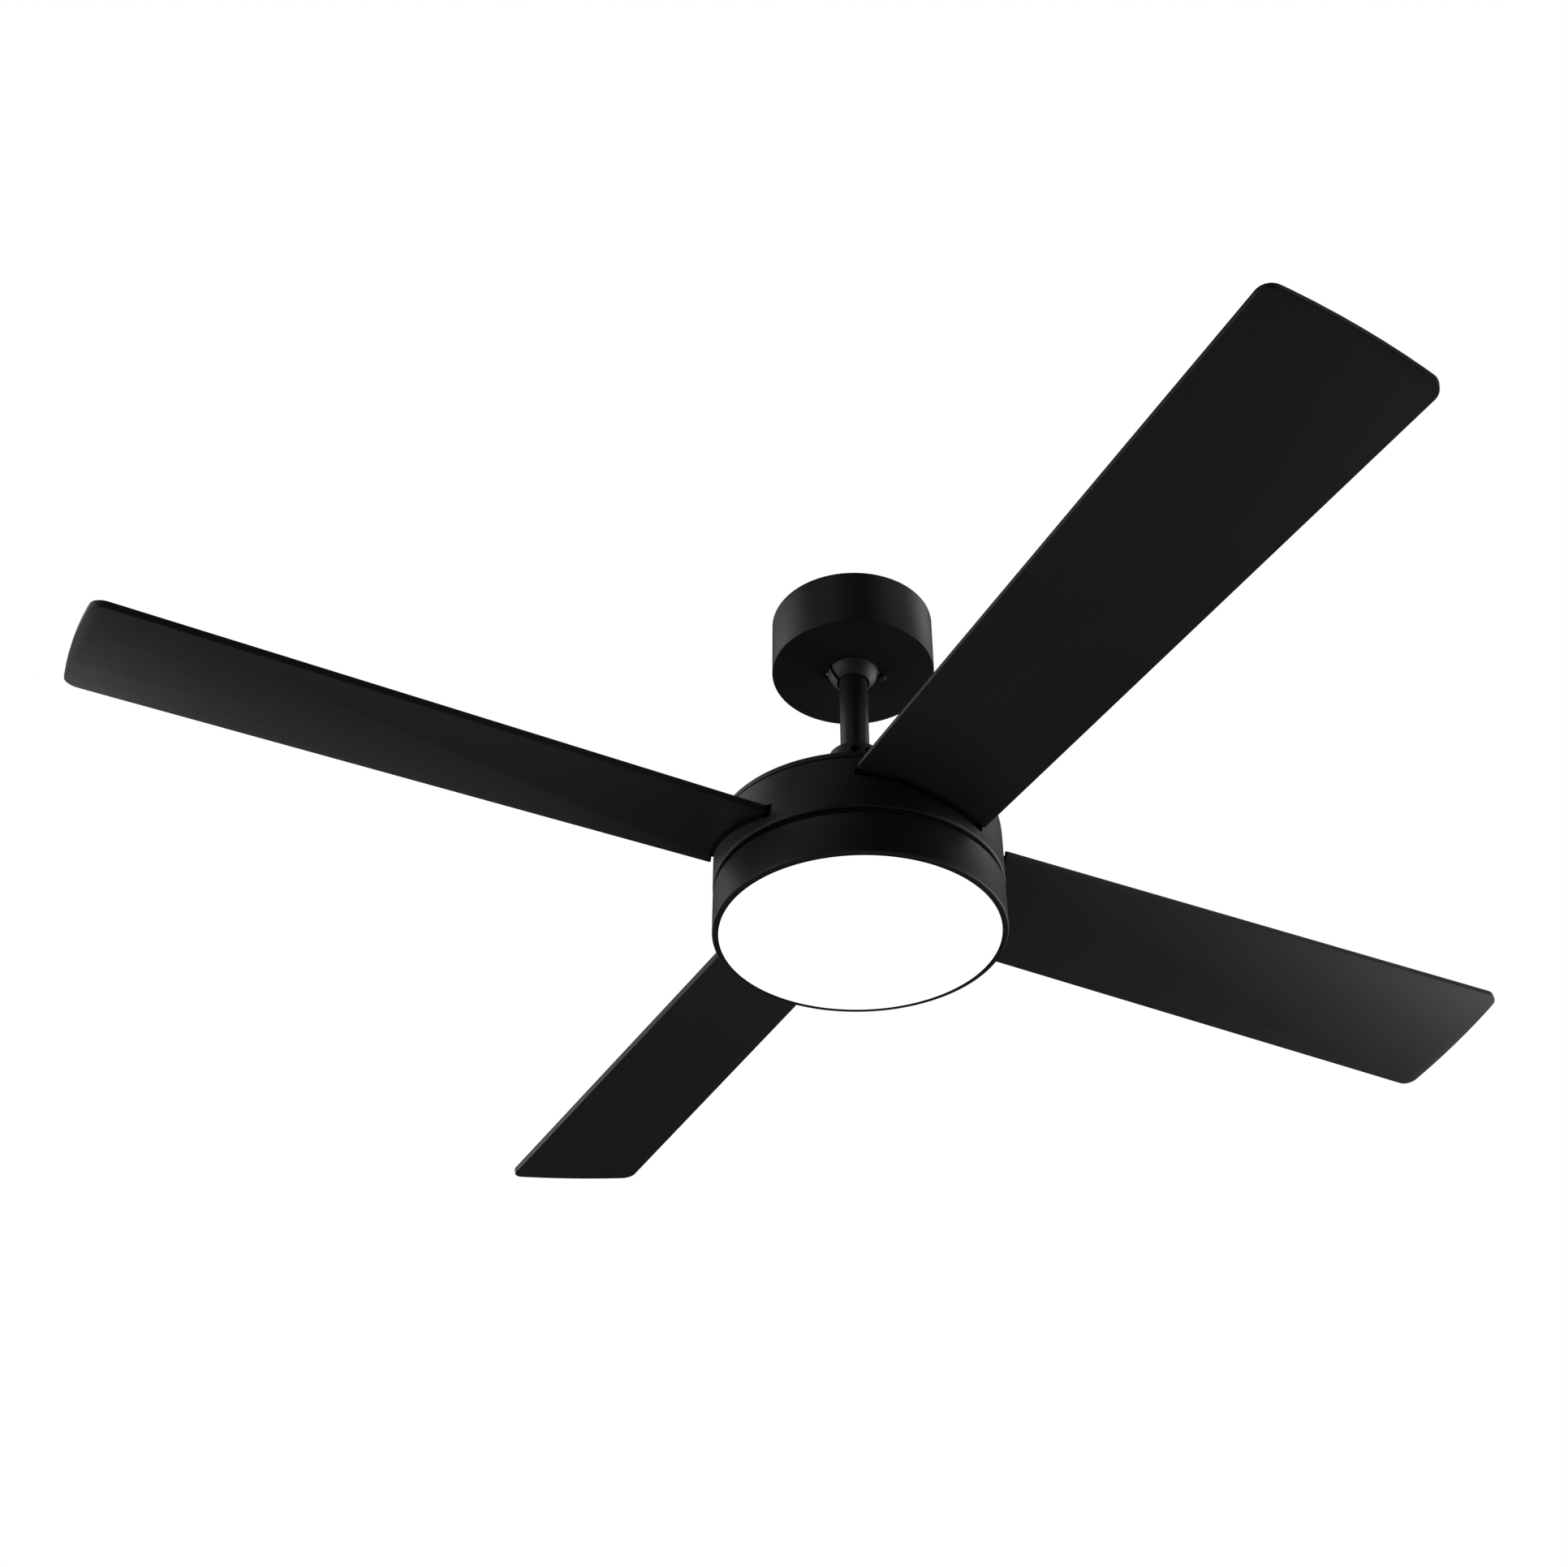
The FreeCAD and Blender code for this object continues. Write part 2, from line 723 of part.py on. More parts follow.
def canopy():
    """The drawn cup that hides the bracket, open at the ceiling."""
    wall = dim("canopy_wall")
    radius = dim("canopy_radius")
    hole = dim("canopy_hole_radius")
    bottom = at_drop("canopy_height")
    body = turned("canopy", [
        (hole, bottom), (radius, bottom), (radius, NOUGHT), (radius - wall, NOUGHT),
        (radius - wall, bottom + wall), (hole, bottom + wall),
    ])
    round_rims(body, dim("canopy_edge_round"), [(radius, bottom)])
    for angle in (dim("canopy_screw_angle"), dim("canopy_screw_angle") + 180):
        sketch = new_sketch(body, "XY_Plane", bottom + wall)
        reach = dim("canopy_screw_reach")
        hole_radius = dim("canopy_screw_radius") + dim("screw_clearance")
        draw_circle(sketch, reach * cosine(angle), reach * sine(angle), hole_radius)
        pocket(body, sketch, wall)
    return body


def canopy_screw():
    """The knurled thumb screw that holds the canopy up to the bracket."""
    body = new_body("canopy_screw")
    reach = dim("canopy_screw_reach")
    angle = dim("canopy_screw_angle")
    x, y = reach * cosine(angle), reach * sine(angle)
    bottom = at_drop("canopy_height")
    shank = new_sketch(body, "XY_Plane", bottom)
    draw_circle(shank, x, y, dim("canopy_screw_radius"))
    pad(body, shank, dim("canopy_screw_length"))
    head = new_sketch(body, "XY_Plane", bottom - dim("canopy_screw_head_height"))
    draw_circle(head, x, y, dim("canopy_screw_head_radius"))
    pad(body, head, dim("canopy_screw_head_height"))
    groove = new_sketch(body, "XY_Plane", bottom - dim("canopy_screw_head_height"))
    half_length, half_width = dim("canopy_screw_head_radius") + PAST, dim("canopy_screw_slot_half_width")
    draw_box(groove, x - half_length, y - half_width, x + half_length, y + half_width)
    pocket(body, groove, dim("canopy_screw_slot_depth"), forwards=True)
    return body


# ---------------------------------------------------------------- receiver in the canopy

def receiver_case():
    """The remote receiver's case, open below, wedged between the bracket's legs."""
    body = new_body("receiver_case")
    half_length = dim("receiver_length") / 2
    half_width = dim("receiver_width") / 2
    wall = dim("receiver_wall")
    top = at_drop("receiver_top_drop")
    outer = new_sketch(body, "XY_Plane", top - dim("receiver_height"))
    draw_box(outer, -half_length, -half_width, half_length, half_width)
    pad(body, outer, dim("receiver_height"))
    inner = new_sketch(body, "XY_Plane", top - dim("receiver_height"))
    draw_box(inner, wall - half_length, wall - half_width, half_length - wall, half_width - wall)
    pocket(body, inner, dim("receiver_height") - wall, forwards=True)
    return body


def receiver_lid():
    half_length = dim("receiver_length") / 2
    half_width = dim("receiver_width") / 2
    body = new_body("receiver_lid")
    under = at_drop("receiver_top_drop") - dim("receiver_height")
    sketch = new_sketch(body, "XY_Plane", under - dim("receiver_wall"))
    draw_box(sketch, -half_length, -half_width, half_length, half_width)
    pad(body, sketch, dim("receiver_wall"))
    return body


def receiver_board():
    """The circuit board inside the case, with its transformer and capacitor."""
    wall = dim("receiver_wall")
    gap = dim("receiver_board_gap")
    half_length = dim("receiver_length") / 2 - wall - gap
    half_width = dim("receiver_width") / 2 - wall - gap
    body = new_body("receiver_board")
    sketch = new_sketch(body, "XY_Plane", at_drop("receiver_board_drop"))
    draw_box(sketch, -half_length, -half_width, half_length, half_width)
    pad(body, sketch, dim("receiver_board_thickness"))
    low = at_drop("receiver_parts_drop")
    parts_sketch = new_sketch(body, "XY_Plane", low)
    start = dim("transformer_inset") - half_length
    draw_box(parts_sketch, start, -dim("transformer_near"),
             start + dim("transformer_length"), dim("transformer_far"))
    draw_circle(parts_sketch, dim("capacitor_x"), dim("capacitor_y"), dim("capacitor_radius"))
    pad(body, parts_sketch, at_drop("receiver_board_drop") + gap - low)
    return body


def terminal_block():
    """The wire connector on the bracket's leg, with its screw wells."""
    leg = dim("bracket_leg_reach") + dim("bracket_sheet")
    half = dim("terminal_length") / 2
    top = at_drop("terminal_drop")
    low = top - dim("terminal_height")
    block = box("terminal_blank", (leg, -half, low), (leg + dim("terminal_depth"), half, top))
    wells = []
    for step in (-1, 0, 1):
        x = leg + dim("terminal_well_reach")
        y = dim("terminal_well_pitch") * step
        at = Placement(Vector(x.number, y.number, 0), Rotation())
        wells.append(cylinder(f"terminal_well_{step + 1}", dim("terminal_well_radius"),
                              top - dim("terminal_well_depth"), top + PAST, at))
    return cut("terminal_block", block, wells)


# ---------------------------------------------------------------- ball joint and downrod

def slot_key():
    """The key in the bracket's leg that slides in the ball's slot and stops it turning."""
    at = radial(180.0, at_drop("ball_drop"))
    leg_inner = dim("bracket_leg_reach")
    leg_outer = leg_inner + dim("bracket_sheet")
    face = leg_outer + dim("key_head_gap")
    shank = cylinder("key_shank", dim("key_shank_radius"), dim("key_shank_start"),
                     face + dim("key_head_overlap"), at)
    head = cylinder("key_head", dim("key_head_radius"), face, face + dim("key_head_height"), at)
    half_thick = dim("key_thickness") / 2
    half_high = dim("key_height") / 2
    middle = at_drop("ball_drop")
    blade = box("key_blade", (-dim("key_blade_reach"), -half_thick, middle - half_high),
                (-dim("key_inner_reach"), half_thick, middle + half_high))
    key = doc.addObject("Part::MultiFuse", "slot_key")
    key.Shapes = [shank, head, blade]
    key.Label = "slot_key"
    doc.recompute()
    return key


def hanger_ball():
    """The ball that carries the downrod, cut flat above and below."""
    radius = dim("ball_radius")
    ball = doc.addObject("Part::Sphere", "ball_blank")
    bind(ball, "Radius", radius)
    ball.setExpression("Angle1", f"-1 * asin({(dim('ball_flat_below') / radius).text})")
    ball.setExpression("Angle2", f"asin({(dim('ball_flat_above') / radius).text})")
    ball.Placement.Base.z = at_drop("ball_drop").number
    bind(ball, "Placement.Base.z", at_drop("ball_drop"))
    upright = Placement()
    below, above = at_drop("ball_drop") - radius, at_drop("ball_drop") + radius
    bore = cylinder("ball_bore", dim("ball_bore_radius"), below, above, upright)
    half_slot = dim("ball_slot_width") / 2
    slot_top = at_drop("ball_drop") + dim("ball_slot_above")
    slot = box("ball_slot", (-radius - PAST, -half_slot, below),
               (-dim("rod_radius") + PAST, half_slot, slot_top))
    pin_room = dim("rod_pin_radius") + dim("rod_pin_room")
    pin_half = dim("rod_pin_half_length") + dim("rod_pin_end_room")
    pin_level = at_drop("rod_pin_drop")
    notch_round = cylinder("ball_notch_round", pin_room, -pin_half, pin_half,
                           radial(90.0, pin_level))
    notch = box("ball_notch", (-pin_room, -pin_half, pin_level), (pin_room, pin_half, above))
    screw_hole = cylinder("ball_screw_hole", dim("ball_screw_radius"), dim("rod_radius"),
                          radius + PAST, radial(0.0, at_drop("ball_screw_drop")))
    return cut("hanger_ball", ball, [bore, slot, notch_round, notch, screw_hole])


def ball_screw():
    """The set screw that locks the ball to the downrod."""
    at = radial(0.0, at_drop("ball_screw_drop"))
    reach = dim("ball_screw_reach")
    blank = cylinder("ball_screw_blank", dim("ball_screw_radius"), dim("rod_radius"), reach, at)
    socket = cylinder("ball_screw_socket", dim("ball_screw_socket_radius"),
                      reach - dim("ball_screw_socket_depth"), reach + PAST, at)
    return cut("ball_screw", blank, [socket])


def downrod():
    """The steel tube, drilled for its two cross pins."""
    outer = dim("rod_radius")
    inner = outer - dim("rod_wall")
    low, high = at_drop("rod_bottom_drop"), at_drop("rod_top_drop")
    tube = turned("downrod_tube", tube_points(inner, outer, low, high))
    half = outer + PAST
    top_hole = cylinder("rod_top_hole", dim("rod_pin_radius"), -half, half,
                        radial(90.0, at_drop("rod_pin_drop")))
    low_hole = cylinder("rod_low_hole", dim("coupling_pin_radius"), -half, half,
                        radial(0.0, at_drop("coupling_pin_drop")))
    return cut("downrod", tube, [top_hole, low_hole])


def rod_pin():
    """The cross pin that rests in the ball's notches."""
    half = dim("rod_pin_half_length")
    pin = cylinder("rod_pin", dim("rod_pin_radius"), -half, half,
                   radial(90.0, at_drop("rod_pin_drop")))
    pin.Label = "rod_pin"
    return pin


# ---------------------------------------------------------------- coupling

def coupling():
    """The cast coupling between the downrod and the motor shaft."""
    outer = dim("coupling_radius")
    neck = dim("coupling_neck_radius")
    shaft = dim("shaft_radius")
    bore = dim("coupling_bore_radius")
    top = at_drop("coupling_top_drop")
    step = at_drop("coupling_step_drop")
    floor = at_drop("coupling_floor_drop")
    bottom = at_drop("coupling_bottom_drop")
    body = turned("coupling_casting", [
        (shaft, bottom), (neck, bottom), (neck, step - dim("coupling_taper")), (outer, step),
        (outer, top), (bore, top), (bore, floor), (shaft, floor),
    ])
    round_rims(body, dim("coupling_edge_round"), [(outer, top)])
    tools = []
    for number, angle in enumerate(SET_SCREW_ANGLES, start=1):
        tools.append(cylinder(f"set_screw_hole_{number}", dim("coupling_screw_radius"),
                              bore - PAST, outer + PAST, radial(angle, at_drop("coupling_screw_drop"))))
    tools.append(cylinder("coupling_pin_hole", dim("coupling_pin_radius"), -outer - PAST, outer + PAST,
                          radial(0.0, at_drop("coupling_pin_drop"))))
    return cut("coupling", body, tools)


def coupling_screws():
    """Two hexagon-socket set screws that bear on the downrod."""
    screws = []
    for number, angle in enumerate(SET_SCREW_ANGLES, start=1):
        at = radial(angle, at_drop("coupling_screw_drop"))
        tip = dim("rod_radius") + dim("coupling_screw_rod_gap")
        face = dim("coupling_radius") - dim("coupling_screw_recess")
        blank = cylinder(f"set_screw_{number}", dim("coupling_screw_radius"), tip, face, at)
        socket = doc.addObject("Part::Prism", f"set_screw_socket_{number}")
        socket.Polygon = 6
        bind(socket, "Circumradius", dim("coupling_socket_radius"))
        bind(socket, "Height", dim("coupling_socket_depth") + PAST)
        start = face - dim("coupling_socket_depth")
        socket.Placement = at * Placement(Vector(0, 0, start.number), Rotation())
        screws.append(cut(f"set_screw_cut_{number}", blank, [socket]))
    return together("coupling_screws", screws)


def clip_place(side, level):
    """Upright, on the clip's leg, moved along Y by side and up to level."""
    reach = dim("clip_reach")
    return Placement(Vector(-reach.number, side.number, level.number), Rotation())


def coupling_pin():
    """The headed cross pin that carries the motor's weight."""
    at = radial(0.0, at_drop("coupling_pin_drop"))
    radius = dim("coupling_pin_radius")
    half = dim("coupling_pin_half_length")
    face = dim("coupling_radius")
    shank = cylinder("pin_shank", radius, -half - dim("coupling_pin_tail"), half, at)
    seat = face + dim("coupling_pin_head_gap")
    head = cylinder("pin_head", radius + dim("coupling_pin_head_rim"), seat,
                    seat + dim("coupling_pin_head_height"), at)
    pin = doc.addObject("Part::Fuse", "pin_fused")
    pin.Base = shank
    pin.Tool = head
    level = at_drop("coupling_pin_drop")
    hole = cylinder("pin_clip_hole", dim("clip_hole_radius"), level - radius - PAST,
                    level + radius + PAST, clip_place(NOUGHT, NOUGHT))
    return cut("coupling_pin", pin, [hole])


def coupling_clip():
    """The hairpin clip through the end of the cross pin."""
    leg = cylinder("clip_leg", dim("clip_wire_radius"), at_drop("clip_leg_bottom_drop"),
                   at_drop("clip_leg_top_drop"), clip_place(NOUGHT, NOUGHT))
    loop = doc.addObject("Part::Torus", "clip_loop")
    bind(loop, "Radius1", dim("clip_loop_radius"))
    bind(loop, "Radius2", dim("clip_loop_wire_radius"))
    on_edge = Placement(Vector(), Rotation(Vector(0, 1, 0), 90))
    loop.Placement = clip_place(dim("clip_loop_radius"), at_drop("clip_loop_drop")) * on_edge
    clip = doc.addObject("Part::Fuse", "coupling_clip")
    clip.Base = leg
    clip.Tool = loop
    clip.Label = "coupling_clip"
    doc.recompute()
    return clip


# ---------------------------------------------------------------- shaft, bearings, stator

def motor_shaft():
    """The hollow fixed shaft with the collar that the lamp hangs under."""
    radius, bore, collar = dim("shaft_radius"), dim("shaft_bore_radius"), dim("collar_radius")
    top, bottom = at_drop("shaft_top_drop"), at_drop("shaft_bottom_drop")
    collar_top = at_drop("lower_bearing_drop") - dim("bearing_width")
    collar_low = at_drop("lamp_top_drop")
    return turned("motor_shaft", [
        (bore, bottom), (radius, bottom), (radius, collar_low), (collar, collar_low),
        (collar, collar_top), (radius, collar_top), (radius, top), (bore, top),
    ])


def bearing_rings(label, inner, outer):
    """The inner or the outer rings of both ball bearings."""
    rings = []
    for name in ("upper_bearing_drop", "lower_bearing_drop"):
        high = at_drop(name)
        low = high - dim("bearing_width")
        rings.append(turned(f"{label}_{name[:5]}", tube_points(inner, outer, low, high)))
    return together(label, rings)


def bearing_balls():
    """Eight balls in each bearing."""
    balls = []
    radius = dim("bearing_radius") - dim("bearing_race") - dim("bearing_middle_radius")
    radius = radius - dim("bearing_ball_gap")
    for name in ("upper_bearing_drop", "lower_bearing_drop"):
        middle = at_drop(name) - dim("bearing_width") / 2
        for step in range(BALLS_PER_BEARING):
            angle = math.radians(FULL_TURN * step / BALLS_PER_BEARING)
            reach = dim("bearing_middle_radius").number
            ball = doc.addObject("Part::Sphere", f"bearing_ball_{name[:5]}_{step}")
            bind(ball, "Radius", radius)
            at = Vector(reach * math.cos(angle), reach * math.sin(angle), middle.number)
            ball.Placement.Base = at
            balls.append(ball)
    return together("bearing_balls", balls)


def stator_core():
    """The laminated stator: a hub ring and twelve T-shaped teeth."""
    body = new_body("stator_core")
    low = at_drop("stator_bottom_drop")
    thickness = dim("stator_bottom_drop") - dim("stator_top_drop")
    ring = new_sketch(body, "XY_Plane", low)
    draw_circle(ring, NOUGHT, NOUGHT, dim("stator_hub_radius"))
    draw_circle(ring, NOUGHT, NOUGHT, dim("shaft_radius"))
    pad(body, ring, thickness)
    half, shoe = dim("tooth_half_width"), dim("tooth_shoe_half_width")
    tip = dim("stator_tip_radius")
    root = dim("stator_hub_radius") - PAST
    neck = tip - dim("tooth_shoe")
    tooth_sketch = new_sketch(body, "XY_Plane", low)
    draw_outline(tooth_sketch, [
        (root, -half), (neck, -half), (neck, -shoe), (tip, -shoe),
        (tip, shoe), (neck, shoe), (neck, half), (root, half),
    ])
    tooth = pad(body, tooth_sketch, thickness)
    repeat_round(body, [tooth], dim("tooth_count"))
    return body


def stator_windings():
    """A copper coil round each tooth."""
    body = new_body("stator_windings")
    inner, outer = dim("coil_inner_reach"), dim("coil_outer_reach")
    low = at_drop("stator_bottom_drop") - dim("coil_overhang")
    high = at_drop("stator_top_drop") + dim("coil_overhang")
    coil_sketch = new_sketch(body, "XY_Plane", low)
    half = dim("coil_half_width")
    draw_box(coil_sketch, inner, -half, outer, half)
    coil = pad(body, coil_sketch, high - low)
    window_sketch = new_sketch(body, "YZ_Plane", inner - PAST)
    gap = dim("coil_tooth_gap")
    tooth = dim("tooth_half_width") + gap
    draw_box(window_sketch, -tooth, at_drop("stator_bottom_drop") - gap,
             tooth, at_drop("stator_top_drop") + gap)
    window = pocket(body, window_sketch, outer - inner + 2 * PAST, forwards=True)
    repeat_round(body, [coil, window], dim("tooth_count"))
    return body


# ---------------------------------------------------------------- rotor

def rotor_magnets():
    """Curved magnets round the inside of the rotor case."""
    body = new_body("rotor_magnets")
    sketch = new_sketch(body, "XZ_Plane")
    draw_outline(sketch, tube_points(dim("magnet_inner_radius"), dim("magnet_outer_radius"),
                                     at_drop("magnet_bottom_drop"), at_drop("magnet_top_drop")))
    magnet = revolve(body, sketch, dim("magnet_arc"))
    repeat_round(body, [magnet], dim("magnet_count"))
    return body


def rotor_upper_case():
    """The case's lid with the upper bearing's hub and four posts for the cover."""
    bearing, hub, outer = dim("bearing_radius"), dim("hub_radius"), dim("case_radius")
    split, top = at_drop("case_split_drop"), at_drop("case_top_drop")
    hub_top = at_drop("hub_top_drop")
    body = turned("rotor_upper_case", [
        (bearing, split), (outer, split), (outer, top), (hub, top), (hub, hub_top), (bearing, hub_top),
    ])
    post_sketch = new_sketch(body, "XY_Plane", top)
    draw_circle(post_sketch, dim("post_reach"), NOUGHT, dim("post_radius"))
    cover_under = dim("shell_top_drop") + dim("shell_wall")
    post = pad(body, post_sketch, dim("case_top_drop") - cover_under)
    repeat_round(body, [post], 4)
    screw_holes(body, dim("post_reach"), 4, -cover_under, dim("post_hole_depth"))
    screw_holes(body, dim("case_radius") - dim("case_screw_inset"), 8, top, top - split)
    return body


def rotor_lower_case():
    """The cup round the magnets, with the flange that carries the blade arms."""
    bearing, hub = dim("bearing_radius"), dim("hub_radius")
    inner, outer, flange = dim("magnet_outer_radius"), dim("case_radius"), dim("case_flange_radius")
    split = at_drop("case_split_drop")
    floor = at_drop("case_floor_top_drop")
    flange_top = at_drop("case_flange_top_drop")
    bottom, hub_bottom = at_drop("case_bottom_drop"), at_drop("hub_bottom_drop")
    body = turned("rotor_lower_case", [
        (bearing, hub_bottom), (hub, hub_bottom), (hub, bottom), (flange, bottom),
        (flange, flange_top), (outer, flange_top), (outer, split), (inner, split),
        (inner, floor), (bearing, floor),
    ])
    screw_holes(body, outer - dim("case_screw_inset"), 8, split, dim("case_screw_hole_depth"))
    sketch = new_sketch(body, "XY_Plane", flange_top)
    reach, side = dim("foot_screw_reach"), dim("foot_screw_side")
    for sign in (-1, 1):
        draw_circle(sketch, reach, side * sign, dim("screw_radius") + dim("screw_clearance"))
    holes = pocket(body, sketch, flange_top - bottom)
    repeat_round(body, [holes], dim("blade_count"))
    return body


def housing_cover():
    """The housing's top disc with its short rim."""
    radius, wall = dim("cover_radius"), dim("shell_wall")
    hole = dim("cover_hole_radius")
    top, rim = at_drop("shell_top_drop"), at_drop("cover_rim_drop")
    body = turned("housing_cover", [
        (hole, top - wall), (radius - wall, top - wall), (radius - wall, rim),
        (radius, rim), (radius, top), (hole, top),
    ])
    round_rims(body, dim("cover_edge_round"), [(radius, top)])
    screw_holes(body, dim("post_reach"), 4, top, wall)
    screw_holes(body, dim("shell_screw_reach"), 6, top, wall)
    return body


def motor_housing():
    """The spinning side wall with a flange above, a lip below and four blade slots."""
    radius, wall = dim("shell_radius"), dim("shell_wall")
    inner = radius - wall
    neck = dim("cover_radius") - wall - dim("shell_neck_gap")
    neck_inner = neck - wall
    reach = dim("shell_flange_reach")
    top = at_drop("shell_top_drop") - wall
    shoulder = at_drop("shell_shoulder_drop")
    bottom = at_drop("shell_bottom_drop")
    lip = radius - dim("shell_lip")
    lip_top = bottom + dim("shell_lip_thickness")
    body = turned("motor_housing", [
        (reach, top), (neck, top), (neck, shoulder), (radius, shoulder), (radius, bottom),
        (lip, bottom), (lip, lip_top), (inner, lip_top), (inner, shoulder - wall),
        (neck_inner, shoulder - wall), (neck_inner, top - wall), (reach, top - wall),
    ])
    round_rims(body, dim("shell_edge_round"), [(radius, bottom)])
    round_rims(body, dim("shell_shoulder_round"), [(radius, shoulder)])
    screw_holes(body, dim("shell_screw_reach"), 6, top, wall)
    # The slot lies along the blade's pitch, a little taller than the blade is thick.
    slot_sketch = new_sketch(body, "YZ_Plane", dim("arm_inner_reach"))
    trail, lead = -dim("blade_slot_trail"), dim("blade_slot_lead")
    below, above = -dim("blade_slot_below"), dim("blade_slot_above")
    corners = []
    for side, lift in ((trail, below), (lead, below), (lead, above), (trail, above)):
        corners.append((side * cosine(PITCH) + lift * sine(PITCH),
                        lift * cosine(PITCH) - side * sine(PITCH) - dim("blade_drop")))
    draw_outline(slot_sketch, corners)
    slot = pocket(body, slot_sketch, radius + PAST - dim("arm_inner_reach"), forwards=True)
    repeat_round(body, [slot], dim("blade_count"))
    return body


# ---------------------------------------------------------------- blades and arms

def arm_outline(gap):
    """The arm plate's outline seen along the blade's normal, grown by gap outside the root."""
    trail, lead = dim("arm_trail") + gap, dim("arm_lead") + gap
    half = dim("arm_half_width") + gap
    inner, wide = dim("arm_inner_reach"), dim("arm_wide_reach")
    shoulder, neck = dim("arm_shoulder_reach") + gap, dim("arm_neck_reach") + gap
    end = dim("arm_end_reach") + gap
    chamfer = dim("arm_end_chamfer")
    return [
        (inner, -dim("arm_root_trail")), (wide, -trail), (shoulder, -trail), (neck, -half),
        (end - chamfer, -half), (end, chamfer - half), (end, half - chamfer), (end - chamfer, half),
        (neck, half), (shoulder, lead), (wide, lead), (inner, dim("arm_root_lead")),
    ]


def blade_screw_places():
    near, far, side = dim("blade_screw_near"), dim("blade_screw_far"), dim("blade_screw_side")
    return [(near, -side), (near, side), (far, NOUGHT)]


def turn_to_blade(body, index):
    step = FULL_TURN / dim("blade_count").number
    body.Placement = Placement(Vector(), Rotation(Vector(0, 0, 1), step * index))


def blade(index):
    """A flat blade: straight edges that spread slightly and a tip that follows the sweep."""
    body = new_body(f"blade_{index + 1}")
    root, tip = dim("blade_root_radius"), dim("blade_tip_radius")
    sides = [-dim("blade_trail_root"), -dim("blade_trail_tip"),
             dim("blade_lead_tip"), dim("blade_lead_root")]
    radii = [root, tip, tip, root]
    sketch = pitched_sketch(body, NOUGHT)
    corners = []
    angles = []
    for side, radius in zip(sides, radii):
        reach = math.sqrt(radius.number ** 2 - side.number ** 2)
        corners.append(Vector(reach, side.number, 0))
        angles.append(math.atan2(side.number, reach))
    up = Vector(0, 0, 1)
    trail = sketch.addGeometry(Part.LineSegment(corners[0], corners[1]))
    tip_circle = Part.Circle(Vector(), up, tip.number)
    tip_arc = sketch.addGeometry(Part.ArcOfCircle(tip_circle, angles[1], angles[2]))
    lead = sketch.addGeometry(Part.LineSegment(corners[2], corners[3]))
    root_circle = Part.Circle(Vector(), up, root.number)
    root_arc = sketch.addGeometry(Part.ArcOfCircle(root_circle, angles[0], angles[3]))
    joined = ((trail, 2, tip_arc, 1), (tip_arc, 2, lead, 1),
              (lead, 2, root_arc, 2), (root_arc, 1, trail, 1))
    for one, one_end, other, other_end in joined:
        sketch.addConstraint(Sketcher.Constraint("Coincident", one, one_end, other, other_end))
    for arc, radius in ((tip_arc, tip), (root_arc, root)):
        sketch.addConstraint(Sketcher.Constraint("Coincident", arc, 3, -1, 1))
        made = sketch.addConstraint(Sketcher.Constraint("Radius", arc, radius.number))
        bind(sketch, f"Constraints[{made}]", radius)
    ends = ((trail, 1), (trail, 2), (lead, 1), (lead, 2))
    for (line, end), side in zip(ends, sides):
        made = sketch.addConstraint(Sketcher.Constraint("DistanceY", -1, 1, line, end, side.number))
        bind(sketch, f"Constraints[{made}]", side)
    pad(body, sketch, dim("blade_thickness"))
    names = []
    for number, edge in enumerate(body.Shape.Edges, start=1):
        upright = edge.Length < dim("blade_thickness").number + 0.01
        if upright and edge.CenterOfMass.x > dim("arm_end_reach").number:
            names.append(f"Edge{number}")
    fillet(body, names, dim("blade_corner_round"))
    seat = dim("blade_thickness") - dim("arm_thickness")
    recess = pitched_sketch(body, seat)
    draw_outline(recess, arm_outline(dim("arm_gap")))
    pocket(body, recess, dim("arm_thickness") + PAST, forwards=True)
    holes = pitched_sketch(body, dim("blade_screw_skin"))
    for x, y in blade_screw_places():
        draw_circle(holes, x, y, dim("screw_radius") + dim("screw_clearance"))
    pocket(body, holes, seat, forwards=True)
    turn_to_blade(body, index)
    return body


